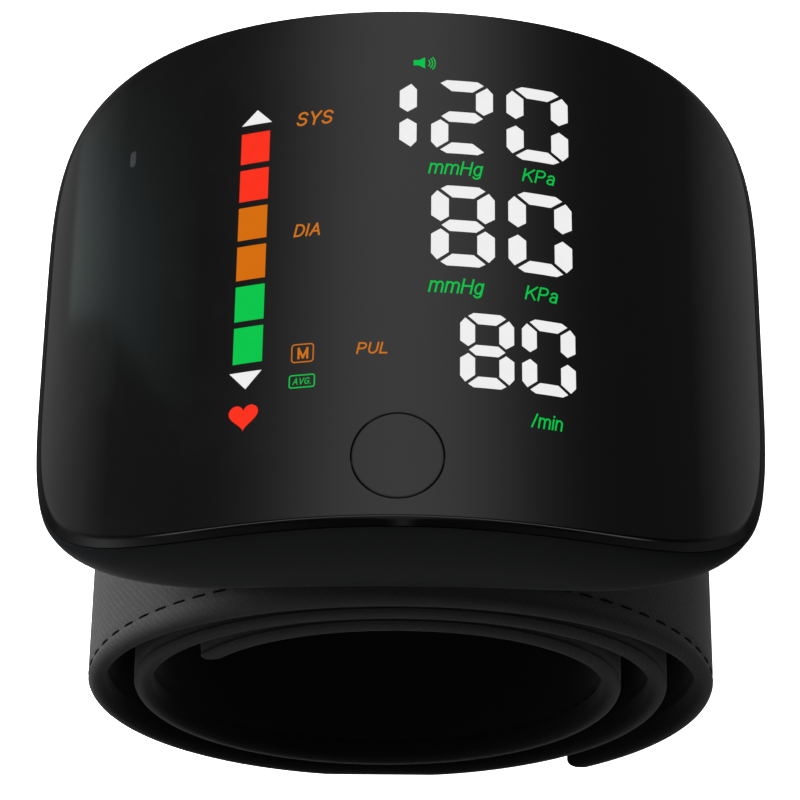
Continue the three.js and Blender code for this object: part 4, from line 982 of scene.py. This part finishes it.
def traced(corners, per_side=5):
    """A closed outline through the corners, with points along each side."""
    corners = np.asarray(corners, float)
    t = np.linspace(0, 1, per_side, endpoint=False)[None, :, None]
    return (corners[:, None] * (1 - t) + np.roll(corners, -1, 0)[:, None] * t).reshape(-1, 2)


def plate(edge):
    """A thin lit plate on the face: rings of its outline drawn towards its middle, and its sunk edge."""
    middle_point = edge.mean(0)
    share = np.array([0.2, 0.6, 1.0])[:, None, None]
    flat = middle_point + (edge - middle_point) * share
    top = raised(flat[..., 0], flat[..., 1])
    foot = top[-1:] - (0, 0, LIFT + SINK)
    return capped_tube(np.concatenate([top, foot]))


def line(path, width, closed):
    """A thin lit line on the face: a rectangle carried along a path, its width across the path."""
    ahead = np.roll(path, -1, 0) - np.roll(path, 1, 0)
    if not closed:
        ahead[0], ahead[-1] = path[1] - path[0], path[-1] - path[-2]
    side = np.stack([-ahead[:, 1], ahead[:, 0]], -1) / np.linalg.norm(ahead, axis=1)[:, None] * width / 2
    left, right = path + side, path - side
    above = [raised(part[:, 0], part[:, 1]) for part in (left, right)]
    below = [part - (0, 0, LIFT + SINK) for part in above[::-1]]
    rings = np.stack(above + below, 1)
    if closed:
        return rings.reshape(-1, 3), grid_faces(len(path), 4, True, True).tolist()
    return capped_tube(rings)


def digit(figure, left, base, width, height):
    """The lit strokes of one digit: six-cornered plates, mirrored about its middle and scaled to it."""
    centre = np.array([left + width / 2, base + height / 2])
    scale = np.array([width, height]) / DIGIT_SIZE
    chosen = [DIGIT_STROKES[number] for number in STROKES[figure]]
    return [
        plate(traced(centre + corners[::flip[0] * flip[1]] * flip * scale, 6)) for corners, flip in chosen]


def heart(at, size):
    """A heart: x is a sine cubed and y a sum of four cosines, scaled to its half width."""
    t = np.linspace(0, 2 * np.pi, 72, endpoint=False)
    x = np.sin(t) ** 3
    y = (13 * np.cos(t) - 5 * np.cos(2 * t) - 2 * np.cos(3 * t) - np.cos(4 * t)) / 15
    return plate(np.stack([at[0] + size * x, at[1] + size * y], -1))


def loudspeaker(left, base, width, height):
    """A loudspeaker mark: a box that flares to the right, and three arcs beyond it."""
    mid = base + height / 2
    box_half, mouth_half = 0.22 * height, 0.48 * height
    neck, mouth = left + 0.24 * width, left + 0.52 * width
    horn = traced([
        (left, mid - box_half), (neck, mid - box_half), (mouth, mid - mouth_half),
        (mouth, mid + mouth_half), (neck, mid + box_half), (left, mid + box_half)])
    turn = np.linspace(-0.75, 0.75, 12)
    centre = np.array([left + 0.5 * width, mid])
    arcs = [
        line(centre + radius * width * np.stack([np.cos(turn), np.sin(turn)], -1), 0.11, False)
        for radius in (0.24, 0.36, 0.48)]
    return [plate(horn), *arcs]


def frame_line(low, high, corner, width):
    """A rounded frame: a line along a rectangle with quarter-circle corners."""
    turn = np.linspace(0, np.pi / 2, 6)
    quarter = corner * np.stack([np.cos(turn), np.sin(turn)], -1)
    turned = [quarter @ np.array([[math.cos(a), math.sin(a)], [-math.sin(a), math.cos(a)]])
              for a in np.arange(4) * np.pi / 2]
    centres = [
        (high[0] - corner, high[1] - corner), (low[0] + corner, high[1] - corner),
        (low[0] + corner, low[1] + corner), (high[0] - corner, low[1] + corner)]
    path = np.concatenate([np.array(centre) + part for centre, part in zip(centres, turned)])
    return line(path, width, True)


def word(text, left, base, width, capital, slant, weight):
    """A word of stroked letters. Their boxes stand side by side and are stretched to the width, y leans x
    by the slant, and each stroke is a lit line along its path, lengthened by half its own thickness."""
    boxes = np.array([LETTERS[letter][0] for letter in text]) + weight
    starts = np.cumsum(boxes + LETTER_GAP) - boxes - LETTER_GAP
    stretch = (width - slant * capital) / (starts[-1] + boxes[-1])
    strokes = []
    for letter, start, box in zip(text, starts, boxes):
        for run in LETTERS[letter][1]:
            across, up = np.array(run, float).T
            y = capital * (weight / 2 + up * (1 - weight))
            x = stretch * (start + weight / 2 + across * (box - weight)) + slant * y
            path = np.stack([left + x, base + y], -1)
            ends = path[[0, -1]] - path[[1, -2]]
            path[[0, -1]] += ends / np.linalg.norm(ends, axis=1)[:, None] * weight * capital / 2
            strokes.append(line(path, weight * capital, False))
    return strokes


def bar(number):
    """One bar of the scale, a rectangle, counted from the top."""
    top = BAR_TOP[0] + BAR_TOP[1] * number + BAR_TOP[2] * number * number
    base = top - (BAR_HEIGHT[0] + BAR_HEIGHT[1] * number)
    left, right = BAR_SPAN
    return plate(traced([(left, base), (right, base), (right, top), (left, top)]))


def shown(name, parts, colour):
    """Lit marks of one colour as one piece."""
    return settle(make(name, *joined(parts), colour, sharp=30), "case", "smoked_film")


def every(build, rows):
    """All the parts that a function builds from each row of a list."""
    return [part for row in rows for part in build(*row)]


shown("lit_digits", every(digit, DIGITS) + [plate(traced(arrow)) for arrow in ARROWS], LIT_WHITE)
for bar_number, bar_colour in enumerate(BAR_COLOURS):
    shown(f"lit_bar_{bar_number + 1}", [bar(bar_number)], bar_colour)
shown("lit_heart", [heart(*HEART)], LIT_RED)
shown("lit_orange_words", every(word, ORANGE_WORDS) + [frame_line(*ORANGE_FRAME)], LIT_ORANGE)
green_marks = [frame_line(*GREEN_FRAME), *loudspeaker(*SPEAKER_MARK)]
shown("lit_green_words", every(word, GREEN_WORDS) + green_marks, LIT_GREEN)


# Pieces kept from the solids
KEPT = {
    BOARD: ["button_board", "main_board"],
    RUBBER: ["switch_body", "speaker", "valve_body", "pressure_sensor", "nozzle_seal"],
    WHITE_PLASTIC: ["switch_plunger", "display_reflector", "pump_head", "cuff_nozzle"],
    SMOKED_FILM: ["display_mask"],
    FOIL: ["battery"],
    STEEL: ["usb_socket", "pump_motor", "pump_shaft", "valve_plunger", "valve_spring"],
    SILICONE: ["air_manifold", "air_tube_sensor", "air_tube_valve", "air_tube_pump", "air_tube_cuff"],
    MATT_BLACK: ["cuff_mount_plate"],
}
for kept_finish, kept_nodes in KEPT.items():
    for kept_node in kept_nodes:
        kept_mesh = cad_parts[kept_node].data
        kept_mesh.materials.clear()
        kept_mesh.materials.append(kept_finish)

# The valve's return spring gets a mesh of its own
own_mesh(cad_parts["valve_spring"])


# Studio

CAMERA_AT = (3.637, -142.833, 321.439)
CAMERA_TURN = -1.570  # degrees from straight along Y
CAMERA_TILT = 63.393  # degrees down
CAMERA_ROLL = -1.036
CAMERA_LENS = 135.3
CAMERA_SENSOR = 36
FLOOR_REACH = 1500
FLOOR_Z = -0.1
FLOOR_GLOW = 1.6
LAMP_SIZE = 0.35
LAMP_AIM = (0, 0, 0.03)
KEY_AT, KEY_POWER = (-0.6, 0.1, 0.25), 14.0
FILL_AT, FILL_POWER = (-0.35, -0.55, 0.3), 0.3
# Light from all round, as ramps (from, to, first, last) and bells (centre, width) over the angle about the
# Y axis from straight up, negative on the left, and over the share of Y in the direction
STRIP_BELL, STRIP_FLATNESS, STRIP_GLOW = (0.0, 0.52), 2.4, 0.93
SKYLINE_RISE, SKYLINE_FALL = (1.42, 1.85, 0.1, 0.5), (1.97, 2.2, 1, 0.1)
READER_SIDE = (0.05, 0.38, 0.25, 1)
BAND_BELL, BAND_SPREAD = (-0.62, 0.09), (1.3, 1.6, 1.8, 0.0)
PATCH_ANGLE, PATCH_ALONG, PATCH_GLOW = (-1.95, 0.2), (-0.42, 0.22), 0.42
BELOW = (2.6, 2.95, 0, 0.12)
SCREEN_SLOPE, SCREEN_HIGHEST = (-1.5, -1.05, 0.4655, 0.441), 0.469
SCREEN_EDGE = (0.0, 0.006, 0, 1)
SCREEN_END = (0.49, 0.54, 1, 0)
SCREEN_RIGHT, SCREEN_LEFT = (-0.95, -1.71, 0, 0.38), (-1.77, -1.73, 0, 1)
SCREEN_TINT = (0.8, 1.1, 1.05)


def camera():
    """The camera, looking down the tilt and turn above, rolled about its own axis."""
    turn, tilt, lean = (math.radians(a) for a in (CAMERA_TURN, CAMERA_TILT, CAMERA_ROLL))
    ahead = np.array([math.sin(turn) * math.cos(tilt), math.cos(turn) * math.cos(tilt), -math.sin(tilt)])
    across = np.array([math.cos(turn), -math.sin(turn), 0])
    upward = np.cross(across, ahead)
    right = across * math.cos(lean) + upward * math.sin(lean)
    up = upward * math.cos(lean) - across * math.sin(lean)
    data = bpy.data.cameras.new("camera")
    data.lens = CAMERA_LENS
    data.sensor_width = CAMERA_SENSOR
    data.sensor_fit = "HORIZONTAL"
    data.clip_start = 0.01
    obj = bpy.data.objects.new("camera", data)
    bpy.context.scene.collection.objects.link(obj)
    axes = np.eye(4)
    axes[:3, 0], axes[:3, 1], axes[:3, 2] = right, up, -ahead
    axes[:3, 3] = np.array(CAMERA_AT) * MM
    obj.matrix_world = Matrix(axes.tolist())
    bpy.context.scene.camera = obj


def studio_floor():
    """A wide pale floor just under the roll, a flat grid."""
    reach = np.linspace(-FLOOR_REACH, FLOOR_REACH, 5)
    x, y = np.meshgrid(reach, reach, indexing="ij")
    material, tree, shader = finish("pale floor", 0.7)
    tone = used(tree, GRAIN, {"Vector": spot(tree), "Scale": 40.0})["Tone"]
    tree.links.new(between(tree, tone, (0.78, 0.78, 0.78), (0.82, 0.82, 0.82)), shader.inputs["Base Color"])
    shader.inputs["Emission Color"].default_value = (1, 1, 1, 1)
    shader.inputs["Emission Strength"].default_value = FLOOR_GLOW
    floor = make("floor", ring(x, y, FLOOR_Z), grid_faces(5, 5), material)
    floor.visible_glossy = False


def lamp(name, at, power):
    """A soft square lamp turned to the part, which lights it but is kept out of its reflections."""
    data = bpy.data.lights.new(name, "AREA")
    data.shape = "RECTANGLE"
    data.size, data.size_y = LAMP_SIZE, LAMP_SIZE
    data.energy = power
    obj = bpy.data.objects.new(name, data)
    bpy.context.scene.collection.objects.link(obj)
    back = np.subtract(at, LAMP_AIM)
    back /= np.linalg.norm(back)
    side = np.cross((0, 1, 0.001), back)
    side /= np.linalg.norm(side)
    axes = np.eye(4)
    axes[:3, 0], axes[:3, 1], axes[:3, 2], axes[:3, 3] = side, np.cross(back, side), back, at
    obj.matrix_world = Matrix(axes.tolist())
    obj.visible_glossy = False


def bell(tree, value, centre, width, power=2.0):
    """A bell curve about a centre; a higher power makes its top flatter."""
    share = sums(tree, "ABSOLUTE", sums(tree, "DIVIDE", sums(tree, "SUBTRACT", value, centre), width))
    return sums(tree, "EXPONENT", sums(tree, "MULTIPLY", sums(tree, "POWER", share, power), -1.0))


def studio_light():
    """Light all round: a bell-shaped bright strip overhead, dark flanks, brighter again at the horizon, dark
    under it and a little light straight below. The reader's side is dim but for a narrow band across it and
    a soft patch on the left, and a pale screen stands at the back on the left, its lower border sloping.
    Two soft lamps light the cloth."""
    world = bpy.data.worlds.new("studio")
    bpy.context.scene.world = world
    world.use_nodes = True
    tree = world.node_tree
    way = place(tree, "ShaderNodeSeparateXYZ", {0: spot(tree, "Generated")})
    angle = sums(tree, "ARCTAN2", way.outputs["X"], way.outputs["Z"])
    aside, along = sums(tree, "ABSOLUTE", angle), way.outputs["Y"]
    strip = sums(tree, "MULTIPLY", bell(tree, angle, *STRIP_BELL, STRIP_FLATNESS), STRIP_GLOW)
    skyline = sums(tree, "MULTIPLY", ramp(tree, aside, *SKYLINE_RISE), ramp(tree, aside, *SKYLINE_FALL))
    glow = sums(tree, "MULTIPLY", sums(tree, "ADD", strip, skyline), ramp(tree, along, *READER_SIDE))
    band = sums(tree, "MULTIPLY", bell(tree, along, *BAND_BELL), ramp(tree, aside, *BAND_SPREAD))
    patch = sums(tree, "MULTIPLY", bell(tree, angle, *PATCH_ANGLE), bell(tree, along, *PATCH_ALONG))
    patch = sums(tree, "MULTIPLY", patch, PATCH_GLOW)
    for part in (band, patch, ramp(tree, aside, *BELOW)):
        glow = sums(tree, "ADD", glow, part)
    border = sums(tree, "MINIMUM", ramp(tree, angle, *SCREEN_SLOPE), SCREEN_HIGHEST)
    screen = ramp(tree, sums(tree, "SUBTRACT", along, border), *SCREEN_EDGE)
    fades = (along, SCREEN_END), (angle, SCREEN_RIGHT), (angle, SCREEN_LEFT)
    for source, fade in fades:
        screen = sums(tree, "MULTIPLY", screen, ramp(tree, source, *fade))
    tint = place(tree, "ShaderNodeVectorMath", {0: SCREEN_TINT, "Scale": screen}, operation="SCALE")
    light = place(tree, "ShaderNodeVectorMath", {0: tint.outputs[0], 1: glow}, operation="ADD")
    tree.links.new(light.outputs[0], tree.nodes["Background"].inputs["Color"])
    lamp("key", KEY_AT, KEY_POWER)
    lamp("fill", FILL_AT, FILL_POWER)


camera()
studio_floor()
studio_light()
bpy.context.scene.view_settings.view_transform = "Standard"
